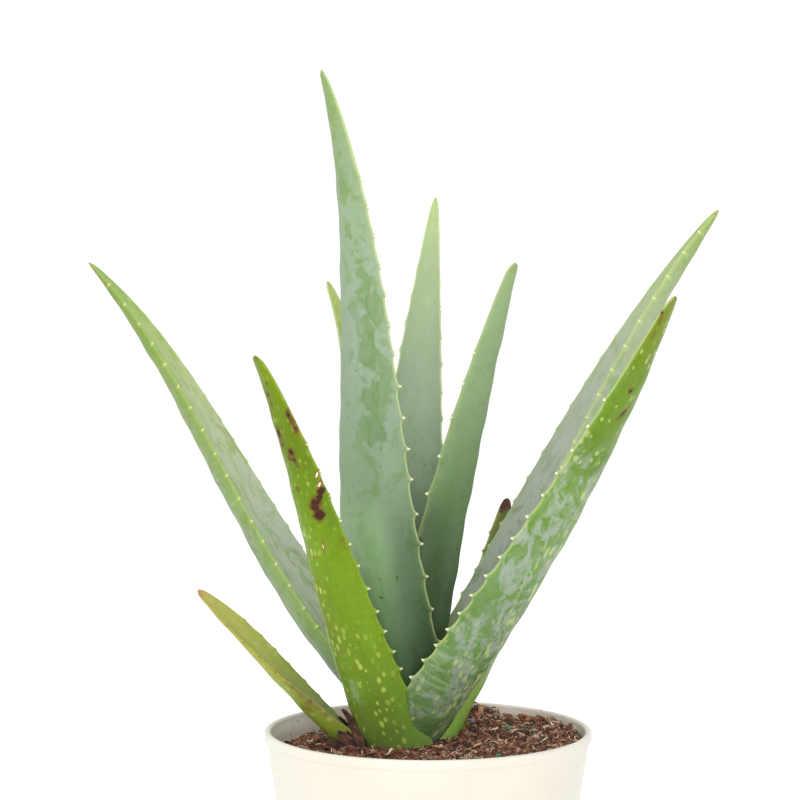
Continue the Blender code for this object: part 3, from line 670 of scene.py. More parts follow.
frontLeftLeaf = {
    "length": 0.182, "width": 0.035, "thick": 0.008, "lean": (34.5, 20.5, 29), "heading": 228, "swing": -4,
    "roll": (-1, -8), "cup": 50, "taper": (1.25, 0.6), "baseWidth": 1.0, "toothScale": 0.85,
    "root": (-0.0065, -0.0089, -0.012), "spacing": (0.0080, 0.0120), "firstTooth": 0.026}
frontLeftLook = plainLook | {
    "skin": [
        (0.0, "5A7028"), (0.12, "5C7620"), (0.3, "627C08"), (0.5, "668008"), (0.68, "5C7808"),
        (0.82, "5E740A"), (0.92, "647C0C"), (1.0, "6A800E")],
    "bloom": [(0.0, "8FA78A"), (1.0, "8FA78A")], "cover": [(0.0, 0.22), (0.15, 0.06), (1.0, 0.0)],
    "gloss": 0.40,
    "flecks": [
        (2.2, 4.8, 0.28, 0.8, 0.06, 0.34, (0.95, 0.5)), (2.3, 5.4, 0.28, 0.8, 0.28, 0.62, (0.4, -0.1)),
        (2.4, 4.5, 0.25, 0.45, 0.55, 0.95, (0.7, 0.4))],
    "fleckHex": "A2B452", "soft": 0.13, "wet": 0.14, "line": 0.3, "lineHex": "98A94A", "toothHex": "DDD2A6",
    "verge": (0.1, 1.8), "vergeHex": "7A9420", "halo": (0.1, 1.6), "tip": (0.992, 1.0, 0.5, "6A3A20"),
    "corkHex": "5E3420", "waxed": 0.4,
    "marks": [
        ("scar", "back", 8.3, 125.0, 0.9, 1.6, -25), ("scar", "back", 7.2, 122.9, 1.1, 1.4, -45),
        ("scar", "back", 5.8, 121.6, 1.4, 1.2, 0), ("scar", "back", 5.3, 119.3, 1.3, 2.2, 5),
        ("scar", "back", 6.1, 116.2, 1.5, 2.2, -10), ("bruise", "back", 5.6, 119.6, 2.2, 5, 0),
        ("bruise", "back", 2.9, 120.8, 1.5, 0.7, 0), ("scar", "back", 0.6, 126.5, 0.3, 0.8, 0),
        ("scar", "back", 5.4, 156.6, 0.4, 1.5, 8), ("scar", "back", 6.1, 150.8, 0.5, 1.0, 0),
        ("bruise", "back", 5.8, 153.4, 1.0, 4.0, 6), ("scar", "back", -1.2, 150.1, 0.7, 1.6, 0),
        ("bruise", "back", -1.0, 147.0, 1.0, 4.0, 0), ("scar", "back", -0.6, 145.2, 0.3, 0.6, 0),
        ("scar", "back", 2.2, 142.2, 0.6, 0.8, 0), ("scar", "back", 0.4, 139.5, 0.6, 0.7, 0),
        ("scar", "back", 2.5, 138.9, 0.6, 0.8, 0), ("scar", "back", 3.2, 136.5, 0.3, 0.4, 0),
        ("bruise", "back", 1.5, 140.5, 1.5, 2.2, 0), ("scar", "back", 1.0, 170.5, 0.3, 0.4, 0),
        ("scar", "back", -0.6, 165.9, 0.4, 0.6, 0), ("scar", "back", -0.3, 162.0, 0.3, 0.5, 0),
        ("bruise", "back", -0.6, 164.0, 0.7, 2.5, 0), ("bruise", "back", 10.8, 104, 0.6, 2, 0),
        ("nick", "back", 8.6, 131.9, 0.3, 1.1, -28), ("nick", "back", 8.3, 127.6, 0.3, 1.2, -28),
        ("nick", "back", 4.9, 103.9, 0.3, 1.5, 0), ("wax", "back", 0.4, 40, 1.3, 5, 0)]}
makeLeaf("frontLeftLeaf", "leaf_front_left", frontLeftLeaf, frontLeftLook)

longLeftLeaf = {
    "length": 0.252, "width": 0.0343, "thick": 0.0099, "lean": (60.9, 32.6, 47.2), "heading": 154,
    "swing": 1, "roll": (-2.9, 9.1), "cup": 30, "taper": (1.5, 0.65), "baseWidth": 0.75, "toothScale": 0.45,
    "lastTooth": 0.97, "plump": (0.11, 0.25, 0.5, 0.026), "thickTaper": (1.95, 0.59),
    "root": (0.0076, 0.0048, -0.004), "spacing": (0.0105, 0.0110), "firstTooth": 0.040}
longLeftLook = plainLook | {
    "skin": [(0.0, "5E7A42"), (0.4, "7A9458"), (0.75, "859D52"), (0.93, "829E41"), (1.0, "7C9A38")],
    "bloom": [(0.0, "94A48A"), (0.45, "ABB2A5"), (0.75, "ADB594"), (1.0, "A3AE80")],
    "cover": [(0.0, 0.7), (0.3, 0.95), (0.65, 0.9), (0.82, 0.45), (0.93, 0.15), (1.0, 0.05)], "worn": 0.56,
    "wear": 0.7, "smear": 0.45, "line": 0.25, "lineWide": 0.5, "lineHex": "A8B466", "halo": (0.35, 1.6),
    "toothHex": "BCC674", "verge": (0.6, 6.5), "vergeFrom": -0.1, "vergeHex": "76943F", "backCover": 0.4,
    "backShade": 0.6, "flecks": [(3.0, 5.0, 0.2, 0.3, 0.45, 1.0, (-9, -8))], "fleckHex": "BCC67C",
    "soft": 0.16, "marks": [("nick", "face", 4.0, 184, 0.4, 1.2, 0)]}
makeLeaf("longLeftLeaf", "leaf_long_left", longLeftLeaf, longLeftLook)

longRightLeaf = {
    "length": 0.259, "width": 0.0364, "thick": 0.0107, "lean": (31.6, 28.6, 39.7), "heading": 22.5,
    "swing": -1, "roll": (7.2, -12.4), "cup": 50, "taper": (1.5, 0.75), "baseWidth": 0.8, "toothScale": 0.5,
    "lastTooth": 0.97, "plump": (0.0, 0.2, 0.5, 0.03), "thickTaper": (1.83, 0.44),
    "root": (0.0041, 0.0046, -0.012), "spacing": (0.0105, 0.0120), "firstTooth": 0.034}
longRightLook = plainLook | {
    "skin": [
        (0.0, "88AC48"), (0.14, "86AA48"), (0.3, "647E56"), (0.7, "74905A"), (0.93, "829C4E"),
        (1.0, "8AA23E")],
    "bloom": [(0.0, "9AA690"), (0.3, "ACB0AB"), (0.6, "9FA49B"), (1.0, "98A47C")],
    "cover": [(0.0, 0.0), (0.14, 0.05), (0.26, 0.95), (0.75, 0.95), (0.9, 0.6), (1.0, 0.15)], "worn": 0.60,
    "wear": 0.6, "smear": 0.35, "line": 0.4, "lineHex": "B0BC74", "halo": (0.4, 1.8), "toothHex": "C8CE8C",
    "verge": (0.3, 4.0), "vergeHex": "86A060", "backShade": 0.9}
makeLeaf("longRightLeaf", "leaf_long_right", longRightLeaf, longRightLook)

shortBackLeaf = {
    "length": 0.114, "width": 0.0175, "thick": 0.0055, "lean": (32.5, 39, 25.5), "heading": 58, "swing": 11,
    "roll": (0, 5), "cup": 39, "taper": (1.35, 0.45), "baseWidth": 0.75, "toothScale": 0.6,
    "plump": (0.0, 1, 0.0, 1), "root": (0.0109, 0.0102, -0.004), "spacing": (0.0090, 0.0090),
    "firstTooth": 0.032}
shortBackLook = plainLook | {
    "skin": [(0.0, "46582A"), (0.5, "4F6022"), (0.9, "525C1E"), (1.0, "4A4A1E")],
    "bloom": [(0.0, "7E8A5A"), (1.0, "7E8A5A")], "cover": [(0.0, 0.2), (1.0, 0.1)],
    "tip": (0.935, 0.96, 0.95, "42201A"), "line": 0.4, "halo": (0.1, 1.5), "toothHex": "8A5A3A"}
makeLeaf("shortBackLeaf", "leaf_short_back", shortBackLeaf, shortBackLook)

lowLeftLeaf = {
    "length": 0.095, "width": 0.0185, "thick": 0.0065, "lean": (52.5, 42.5, 45.5), "heading": 187,
    "swing": -3, "roll": (10, -43), "cup": 24, "taper": (1.45, 0.65), "baseWidth": 0.85, "toothScale": 0.4,
    "plump": (0.32, 0.42, 0.4, 0.05), "root": (-0.0179, -0.0016, -0.008), "spacing": (0.0085, 0.0085),
    "firstTooth": 0.024}
lowLeftLook = plainLook | {
    "skin": [(0.0, "6E6A2C"), (0.2, "76861C"), (0.4, "7E8C2A"), (0.6, "929A30"), (1.0, "A09A50")],
    "bloom": [(0.0, "9EA67E"), (1.0, "A9AE6A")], "backCover": 0.2,
    "cover": [(0.0, 0.6), (0.6, 0.45), (1.0, 0.2)], "line": 0.15, "lineHex": "8A7434", "verge": (0.12, 1.6),
    "vergeHex": "8A7434", "toothHex": "8C7A3A", "flecks": [(2.6, 5, 0.22, 0.3, 0.1, 0.9, (-9, -8))],
    "scarHex": "7A4A26", "tip": (0.95, 1.0, 0.8, "A8705C"), "halo": (0.0, 1.0), "waxed": 0.85,
    "marks": [
        ("bruise", "face", 6.4, 44, 0.9, 5, 0), ("wax", "face", 4.0, 50, 1.0, 4.4, -34),
        ("bruise", "back", 6.2, 32.5, 1.6, 3, 0), ("bruise", "back", 8.4, 42, 1.0, 13, 0),
        ("scar", "back", 8.6, 36, 0.4, 5, 0)]}
makeLeaf("lowLeftLeaf", "leaf_low_left", lowLeftLeaf, lowLeftLook)
print("leaves are done")

# what is left of a dead leaf at the foot of the low one
driedLeaf = {
    "length": 0.024, "width": 0.011, "thick": 0.0015, "lean": (8, 14, 44), "heading": 192, "swing": 8,
    "roll": (0, 14), "cup": 40, "taper": (1.6, 0.7), "baseWidth": 0.9, "root": (-0.0205, -0.0115, -0.009),
    "spacing": (0.0105, 0.0105), "firstTooth": 0.024}


def makeDriedSkin():   # dead leaf: dry, fibrous, papery brown with darker veins along it
    mat = newMaterial("driedLeafSkin")
    node = partial(addNode, mat)
    skin = node("UVMap", uv_map="skin")
    drawn = node("Mapping", {0: skin, "Scale": (1 / 0.5, 1 / 9, 1)})   # veins 0.5 mm apart
    veins = node("TexNoise", {"Vector": drawn, "Scale": 1.0, "Detail": 3.0, "Distortion": 0.4})
    blotch = node("TexNoise", {"Vector": skin, "Scale": 0.3, "Detail": 3.0})
    brown = node("ValToRGB", {0: blotch}, stops=[(0.3, "2A1A15"), (0.5, "4C2E24"), (0.7, "735240")])
    lines = node("MapRange", {0: veins, 1: 0.35, 2: 0.65, 3: 0.7, 4: 1.2})
    colour = node("VectorMath", {0: brown, 1: lines}, operation="MULTIPLY")
    bump = node("Bump", {"Height": veins, "Strength": 0.7, "Distance": 0.0003})
    shader = node("BsdfPrincipled", {"Base Color": colour, "Roughness": 0.72, "Normal": bump,
                                     "Subsurface Weight": 0.1, "Subsurface Radius": (1.0, 0.5, 0.3),
                                     "Subsurface Scale": 0.001})
    node("OutputMaterial", {0: shader})
    return mat


driedSkin = makeDriedSkin()
sheath = leafMesh("driedSheath", driedLeaf, 0.0005, 0.0005, 17, 0.0, 31)
sheath = cutByNeighbours(sheath, leafCutters)
finishPiece(sheath, driedSkin, ["dried_sheath"])


def paintStem():   # young stem: firm, waxy, pale green flesh with faint rings where leaves were
    mat = newMaterial("stemFlesh")
    where = addNode(mat, "TexCoord").outputs["Object"]
    rings = addNode(mat, "TexNoise", {"Vector": addNode(mat, "Mapping", {
        0: where, "Scale": (60, 60, 700)}), "Scale": 1.0, "Detail": 2.0})
    colour = addNode(mat, "ValToRGB", {0: rings}, stops=[(0.35, "6E7A3C"), (0.6, "A3A566"), (0.75, "8A7446")])
    bump = addNode(mat, "Bump", {"Height": rings, "Strength": 0.5, "Distance": 0.0003})
    shader = addNode(mat, "BsdfPrincipled", {"Base Color": colour, "Roughness": 0.55, "Normal": bump})
    addNode(mat, "OutputMaterial", {0: shader})
    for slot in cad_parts["stem"].material_slots:
        slot.material = mat


paintStem()
print("dried leaf and stem are done")


# pot

pot = {
    "sides": 160, "footRadius": 0.048, "footRound": 0.003, "wall": 0.0018, "floor": 0.003, "lipOut": 0.0009,
    "lipDeep": 0.0042, "lipRound": 0.0012, "step": 0.00035, "stepDown": 0.0036, "recess": 0.0008,
    "shellHex": "D0CCC1", "grimeHex": "7A6850"}


def potInnerRadius(height):
    slope = (rimRadius - pot["lipOut"] - pot["footRadius"]) / potHeight
    return pot["footRadius"] + slope * height - pot["wall"]


def quarterTurn(radius, height, bend, start, count=5):   # a quarter circle of the profile
    turns = [math.radians(start + 90 * i / (count - 1)) for i in range(count)]
    return [(radius + bend * math.cos(t), height + bend * math.sin(t)) for t in turns]


def potProfile():   # from the foot up the outside, over the lip and down the inside
    top, out = potHeight, pot["lipOut"]
    foot, bend, lip = pot["footRadius"], pot["footRound"], pot["lipRound"]
    points = quarterTurn(foot - bend, bend, bend, -90)
    band = top - pot["lipDeep"]   # where the lip starts, with a small slope up to it
    points += [(rimRadius - out - 0.0002, band - 0.0004), (rimRadius - out, band)]
    points += [(rimRadius - 0.0003, band + 0.0006), (rimRadius, band + 0.0011)]
    points += quarterTurn(rimRadius - lip, top - lip, lip, 0)
    points += quarterTurn(potInnerRadius(top) + lip, top - lip, lip, 90)
    down = top - pot["stepDown"]
    above, under = down + 0.0003, down - 0.0004   # the small step inside the rim
    points += [(potInnerRadius(above), above), (potInnerRadius(under) - pot["step"], under)]
    low = pot["floor"] + bend
    points += [(potInnerRadius(low), low), (potInnerRadius(pot["floor"]) - bend, pot["floor"])]
    return points


def makePotSkin():   # injection-moulded polypropylene: smooth, satin, off-white, with soil grime inside
    mat = newMaterial("pottingPolypropylene")
    node = partial(addNode, mat)
    where = node("TexCoord").outputs["Object"]
    height = node("SeparateXYZ", {0: where}).outputs[2]
    cloud = node("TexNoise", {"Vector": where, "Scale": 28.0, "Detail": 3.0})   # shades 35 mm across
    tint = node("ValToRGB", {0: cloud}, stops=[(0.3, "CAC5B9"), (0.7, pot["shellHex"])])
    # inside the pot, grime climbs some 4 mm above the soil in drips and specks
    distance = node("VectorMath", {0: node("VectorMath", {0: where, 1: (1, 1, 0)}, operation="MULTIPLY")},
                    operation="LENGTH").outputs["Value"]
    taper = node("MapRange", {0: height, 1: 0.0, 2: potHeight, 3: potInnerRadius(0) + 0.0009,
                              4: potInnerRadius(potHeight) + 0.0009})
    inside = node("Math", {0: distance, 1: taper}, operation="LESS_THAN")
    smear = node("TexNoise", {"Vector": node("Mapping", {0: where, "Scale": (1, 1, 0.45)}), "Scale": 420.0,
                              "Detail": 4.0, "Roughness": 0.65})           # smears 2.4 mm wide
    level = node("Math", {0: node("MapRange", {0: smear, 1: 0.3, 2: 0.7, 3: -0.0012, 4: 0.0014}), 1: height},
                 operation="ADD")
    low = node("MapRange", {0: level, 1: potHeight - 0.0012, 2: potHeight - 0.0078, 3: 0.0, 4: 0.35},
               interpolation_type="SMOOTHSTEP")
    specks = node("TexVoronoi", {"Vector": where, "Scale": 360.0})         # specks under 1 mm, 2.8 mm apart
    chance = node("SeparateColor", {0: specks.outputs["Color"]})
    size = node("MapRange", {0: chance.outputs[0], 1: 0.72, 2: 1.0, 3: 0.0, 4: 0.24})
    dot = node("MapRange", {0: node("Math", {0: size, 1: specks.outputs["Distance"]}, operation="SUBTRACT"),
                            1: -0.02, 2: 0.02, 3: 0.0, 4: 0.85})
    dirt = node("Math", {0: low, 1: dot}, operation="MAXIMUM")
    dirt = node("Math", {0: dirt, 1: inside}, operation="MULTIPLY")
    # the inside wall is tinted darker and warmer than the outside: partly soil dust, partly painted shade of
    # the pot's inside
    insideDustAndShade = node("Mix", {0: node("Math", {0: inside, 1: 0.6}, operation="MULTIPLY"), 1: tint, 2: "C6C0B2"},
                  data_type="RGBA")
    colour = node("Mix", {0: dirt, 1: insideDustAndShade, 2: pot["grimeHex"]}, data_type="RGBA")
    drawn = node("Mapping", {0: where, "Scale": (1, 1, 9)})
    scuffs = node("TexNoise", {"Vector": drawn, "Scale": 45.0, "Detail": 5.0})   # faint rings 2.5 mm apart
    shine = node("MapRange", {0: scuffs, 1: 0.35, 2: 0.7, 3: 0.34, 4: 0.46})
    bump = node("Bump", {"Height": scuffs, "Strength": 0.05, "Distance": 0.0003})
    bump = node("Bump", {"Height": dirt, "Strength": 0.4, "Distance": 0.0002, "Normal": bump})
    shader = node("BsdfPrincipled", {"Base Color": colour, "Roughness": shine, "Normal": bump, "IOR": 1.49,
                                     "Subsurface Weight": 0.15, "Subsurface Radius": (1.0, 0.95, 0.85),
                                     "Subsurface Scale": 0.0015})
    node("OutputMaterial", {0: shader})
    return mat


def makePot():
    profile = potProfile()
    radius, height = profile[0]
    deselectAll()
    bpy.ops.mesh.primitive_circle_add(vertices=pot["sides"], radius=radius, fill_type="NGON")
    shell = bpy.context.object
    shell.name = shell.data.name = "pottingPot"
    bpy.ops.object.mode_set(mode="EDIT")
    bpy.ops.mesh.select_all(action="SELECT")
    for nextRadius, nextHeight in profile[1:]:
        bpy.ops.mesh.extrude_region_move(TRANSFORM_OT_translate={"value": (0, 0, nextHeight - height)})
        grow = nextRadius / radius
        bpy.ops.transform.resize(value=(grow, grow, 1), center_override=(0, 0, nextHeight))
        radius, height = nextRadius, nextHeight
    bpy.ops.mesh.select_all(action="DESELECT")
    bpy.ops.object.mode_set(mode="OBJECT")
    for face in shell.data.polygons:
        face.select = face.center.z < 1e-5 and len(face.vertices) > 4
    bpy.ops.object.mode_set(mode="EDIT")
    bpy.ops.mesh.select_mode(type="FACE")
    bpy.ops.mesh.inset(thickness=0.006)          # the moulded recess under the foot
    bpy.ops.mesh.inset(thickness=0.001)
    bpy.ops.transform.translate(value=(0, 0, pot["recess"]))
    bpy.ops.mesh.select_all(action="SELECT")
    bpy.ops.mesh.normals_make_consistent(inside=False)
    bpy.ops.object.mode_set(mode="OBJECT")
    return finishPiece(shell, makePotSkin(), ["pot"], 40)


makePot()
print("pot is done")


# soil

soil = {
    "level": potHeight - 0.0052, "tilt": 0.055, "rise": (0.0022, 0.022), "sink": (0.0016, 0.046, 0.014),
    "mounds": [
        (0.018, 0.040, 0.0036, 0.009), (0.0175, 0.037, 0.0026, 0.0045), (0.050, 0.029, 0.0014, 0.006)],
    "lump": 0.0007, "turns": (610, 540, 330), "edge": 0.0006, "corner": 0.004, "cells": 150,
    "crumbRise": 0.0011, "crumbScale": 260}


def soilHeight(x, y):   # the packed soil's surface with its heaps, a little lower towards the wall
    turnX, turnY, turnMix = soil["turns"]
    lumps = soil["lump"] * np.sin(x * turnX + np.sin(y * turnMix)) * np.sin(y * turnY)
    height = soil["level"] + soil["tilt"] * x + lumps
    for middleX, middleY, rise, spread in ((crown[0], crown[1], *soil["rise"]), *soil["mounds"]):
        height = height + rise * np.exp(-((x - middleX) ** 2 + (y - middleY) ** 2) / (2 * spread ** 2))
    drop, start, width = soil["sink"]
    return height - drop * np.clip((np.hypot(x, y) - start) / width, 0, 1) ** 1.5


def crumble(x, y):   # crumbs and hollows of 2 to 8 mm on top of it
    fine = [noise.fractal(Vector((a, b, 0.3)) * soil["crumbScale"], 0.8, 2.3, 4) for a, b in zip(x, y)]
    return soil["crumbRise"] * np.array(fine)


def makeSoilSkin():   # damp peat and bark: matt dark brown crumbs with tan fibre between
    mat = newMaterial("barkSoil")
    node = partial(addNode, mat)
    where = node("TexCoord").outputs["Object"]
    crumbs = node("TexVoronoi", {"Vector": where, "Scale": 700.0})         # crumbs 1.4 mm across
    chance = node("SeparateColor", {0: crumbs.outputs["Color"]})
    patches = node("TexNoise", {"Vector": where, "Scale": 160.0, "Detail": 5.0, "Roughness": 0.7})   # 6 mm
    brown = node("ValToRGB", {0: chance.outputs[0]}, stops=[(0.0, "2A1C17"), (0.45, "4A3229"), (0.8, "6A4636"),
                                                          (1.0, "94725C")])
    shade = node("MapRange", {0: patches, 1: 0.3, 2: 0.7, 3: 0.55, 4: 1.25})
    colour = node("VectorMath", {0: brown, 1: shade}, operation="MULTIPLY")
    grain = node("TexNoise", {"Vector": where, "Scale": 1500.0, "Detail": 3.0})   # 0.7 mm grit
    dome = crumbs.outputs["Distance"]
    bump = node("Bump", {"Height": dome, "Strength": 0.8, "Distance": 0.0006}, invert=True)
    bump = node("Bump", {"Height": grain, "Strength": 0.7, "Distance": 0.0004, "Normal": bump})
    shader = node("BsdfPrincipled", {"Base Color": colour, "Roughness": 0.9, "Normal": bump})
    node("OutputMaterial", {0: shader})
    return mat


def makeSoil():
    deselectAll()
    cells = soil["cells"]
    bpy.ops.mesh.primitive_grid_add(x_subdivisions=cells, y_subdivisions=cells, size=2)
    bed = bpy.context.object
    bed.name = bed.data.name = "soilBed"
    places = np.zeros(len(bed.data.vertices) * 3)
    bed.data.vertices.foreach_get("co", places)
    places = places.reshape(-1, 3)
    u, v = places[:, 0].copy(), places[:, 1].copy()
    rim = potInnerRadius(soil["level"]) - soil["edge"] - pot["step"]
    x = u * np.sqrt(1 - v * v / 2) * rim   # the square grid pressed to a disc
    y = v * np.sqrt(1 - u * u / 2) * rim
    height = soilHeight(x, y)
    stretch = (potInnerRadius(height) - soil["edge"] - pot["step"]) / rim      # the wall leans out
    places = np.stack([x * stretch, y * stretch, height + crumble(x, y)], -1)
    bed.data.vertices.foreach_set("co", places.ravel())
    bottom = pot["floor"] + 0.0003
    bpy.ops.object.mode_set(mode="EDIT")
    bpy.ops.mesh.select_mode(type="EDGE")
    bpy.ops.mesh.select_all(action="DESELECT")
    bpy.ops.mesh.select_non_manifold()
    bpy.ops.mesh.extrude_region_move(TRANSFORM_OT_translate={"value": (0, 0, -0.05)})
    bpy.ops.transform.resize(value=(1, 1, 0), center_override=(0, 0, pot["floor"] + soil["corner"]))
    narrow = (potInnerRadius(pot["floor"] + soil["corner"]) - soil["edge"]) / rim
    bpy.ops.transform.resize(value=(narrow, narrow, 1), center_override=(0, 0, 0))
    bpy.ops.mesh.extrude_region_move(TRANSFORM_OT_translate={
        "value": (0, 0, bottom - pot["floor"] - soil["corner"])})
    narrow = (potInnerRadius(bottom) - 0.0036) / (potInnerRadius(pot["floor"] + soil["corner"]) - soil["edge"])
    bpy.ops.transform.resize(value=(narrow, narrow, 1), center_override=(0, 0, 0))
    bpy.ops.mesh.edge_face_add()
    bpy.ops.mesh.select_all(action="SELECT")
    bpy.ops.mesh.normals_make_consistent(inside=False)
    bpy.ops.object.mode_set(mode="OBJECT")
    bed = cutByNeighbours(bed, leafCutters)
    return finishPiece(bed, makeSoilSkin(), ["soil"], 80)


soilBed = makeSoil()
print("soil is done")


# what lies on the soil

litter = {"shreds": 4200, "chips": 90, "crumbs": 420, "fibres": 60, "prills": 18, "seed": 17}
leafNames = ("tallLeaf", "innerRightLeaf", "innerLeftLeaf", "innerBackLeaf", "frontRightLeaf", "frontLeftLeaf",
             "longLeftLeaf", "longRightLeaf", "shortBackLeaf", "lowLeftLeaf", "driedSheath")


def treeOf(objects, ceiling):   # the faces below a height, to measure distances to
    points, faces = [], []
    for obj in objects:
        start = len(points)
        points += [v.co.copy() for v in obj.data.vertices]
        faces += [[start + i for i in f.vertices] for f in obj.data.polygons if f.center.z < ceiling]
    return BVHTree.FromPolygons(points, faces)


soilTree = treeOf([soilBed], 1.0)
leafTree = treeOf([bpy.data.objects[name] for name in leafNames], potHeight + 0.02)


def clearOfLeaves(place, clearance):
    near, normal, face, distance = leafTree.find_nearest(place)
    return distance > clearance and (place - near).dot(normal) > 0


def soilSpot(x, y, clearance):   # the point of the soil's top at (x, y), if no leaf is near
    hit = soilTree.ray_cast(Vector((x, y, 0.2)), Vector((0, 0, -1)))[0]
    if hit and hit.z > potHeight - 0.02 and clearOfLeaves(hit + Vector((0, 0, 0.0006)), clearance):
        return hit
    return None


def randomPlace(rng, reach):   # anywhere on the soil
    angle = rng.uniform(0, 2 * math.pi)
    radius = reach * math.sqrt(rng.random())
    return radius * math.cos(angle), radius * math.sin(angle)


def shapedBlock(name, size, cuts, jitter, bend, seed):   # a split, bent piece of bark
    deselectAll()
    bpy.ops.mesh.primitive_cube_add(size=1)
    obj = bpy.context.object
    obj.name = name
    bpy.ops.object.mode_set(mode="EDIT")
    bpy.ops.mesh.select_all(action="SELECT")
    bpy.ops.transform.resize(value=size, center_override=(0, 0, 0))
    bpy.ops.mesh.select_mode(type="EDGE")
    bpy.ops.mesh.select_all(action="DESELECT")
    bpy.ops.object.mode_set(mode="OBJECT")
    for edge in obj.data.edges:
        ends = [obj.data.vertices[i].co for i in edge.vertices]
        edge.select = abs(ends[0].x - ends[1].x) > size[0] / 2
    bpy.ops.object.mode_set(mode="EDIT")
    bpy.ops.mesh.subdivide(number_cuts=cuts)
    if jitter > 0.1:
        bpy.ops.mesh.select_all(action="SELECT")
        bpy.ops.mesh.subdivide(number_cuts=1)
    bpy.ops.object.mode_set(mode="OBJECT")
    rng = random.Random(seed)
    for vertex in obj.data.vertices:
        co = vertex.co
        t = co.x / size[0] * 2
        co.y += bend[0] * t * t + rng.uniform(-1, 1) * jitter * size[1]
        co.z += bend[1] * (1 - t * t) + rng.uniform(-1, 1) * jitter * size[2]
        co.x += rng.uniform(-1, 1) * jitter * size[0] * 0.5
        co.y *= 1 - 0.3 * abs(t)
    return obj


def shapedBall(name, detail, jitter, flat, seed):   # a crumb or a grain: a ball of 20 or 80 faces, roughened
    deselectAll()
    bpy.ops.mesh.primitive_ico_sphere_add(subdivisions=detail, radius=0.5)
    obj = bpy.context.object
    obj.name = name
    rng = random.Random(seed)
    for vertex in obj.data.vertices:
        vertex.co *= 1 + rng.uniform(-1, 1) * jitter
        vertex.co.z *= flat
    return obj


def scatter(name, shapes, spots, mat, smooth):   # spots: (shape, place, turn, size, tone)
    points, faces, tones = [], [], []
    for shape, place, turn, size, tone in spots:
        mesh = shapes[shape % len(shapes)].data
        start = len(points)
        points += [place + turn @ Vector((v.co.x * size[0], v.co.y * size[1], v.co.z * size[2]))
                   for v in mesh.vertices]
        faces += [[start + i for i in f.vertices] for f in mesh.polygons]
        tones += [tone] * len(mesh.vertices)
    mesh = bpy.data.meshes.new(name)
    mesh.from_pydata([tuple(point) for point in points], [], faces)
    mesh.attributes.new("tone", "FLOAT", "POINT").data.foreach_set("value", tones)
    obj = bpy.data.objects.new(name, mesh)
    bpy.context.scene.collection.objects.link(obj)
    for shape in shapes:
        bpy.data.objects.remove(shape)
    print(name, "has", len(mesh.polygons), "faces")
    return finishPiece(obj, mat, [], smooth)


def makeBarkSkin(name, stops, grainSize, rough):   # shredded bark and coir: dry, matt, split along the grain
    mat = newMaterial(name)
    node = partial(addNode, mat)
    where = node("TexCoord").outputs["Object"]
    tone = node("Attribute", attribute_name="tone").outputs["Fac"]
    grain = node("TexNoise", {"Vector": where, "Scale": 1 / grainSize, "Detail": 4.0, "Roughness": 0.7})
    shift = node("MapRange", {0: grain, 1: 0.3, 2: 0.7, 3: -0.09, 4: 0.09})
    colour = node("ValToRGB", {0: node("Math", {0: tone, 1: shift}, operation="ADD")}, stops=stops)
    bump = node("Bump", {"Height": grain, "Strength": 0.6, "Distance": 0.0003})
    shader = node("BsdfPrincipled", {"Base Color": colour, "Roughness": rough, "Normal": bump})
    node("OutputMaterial", {0: shader})
    return mat


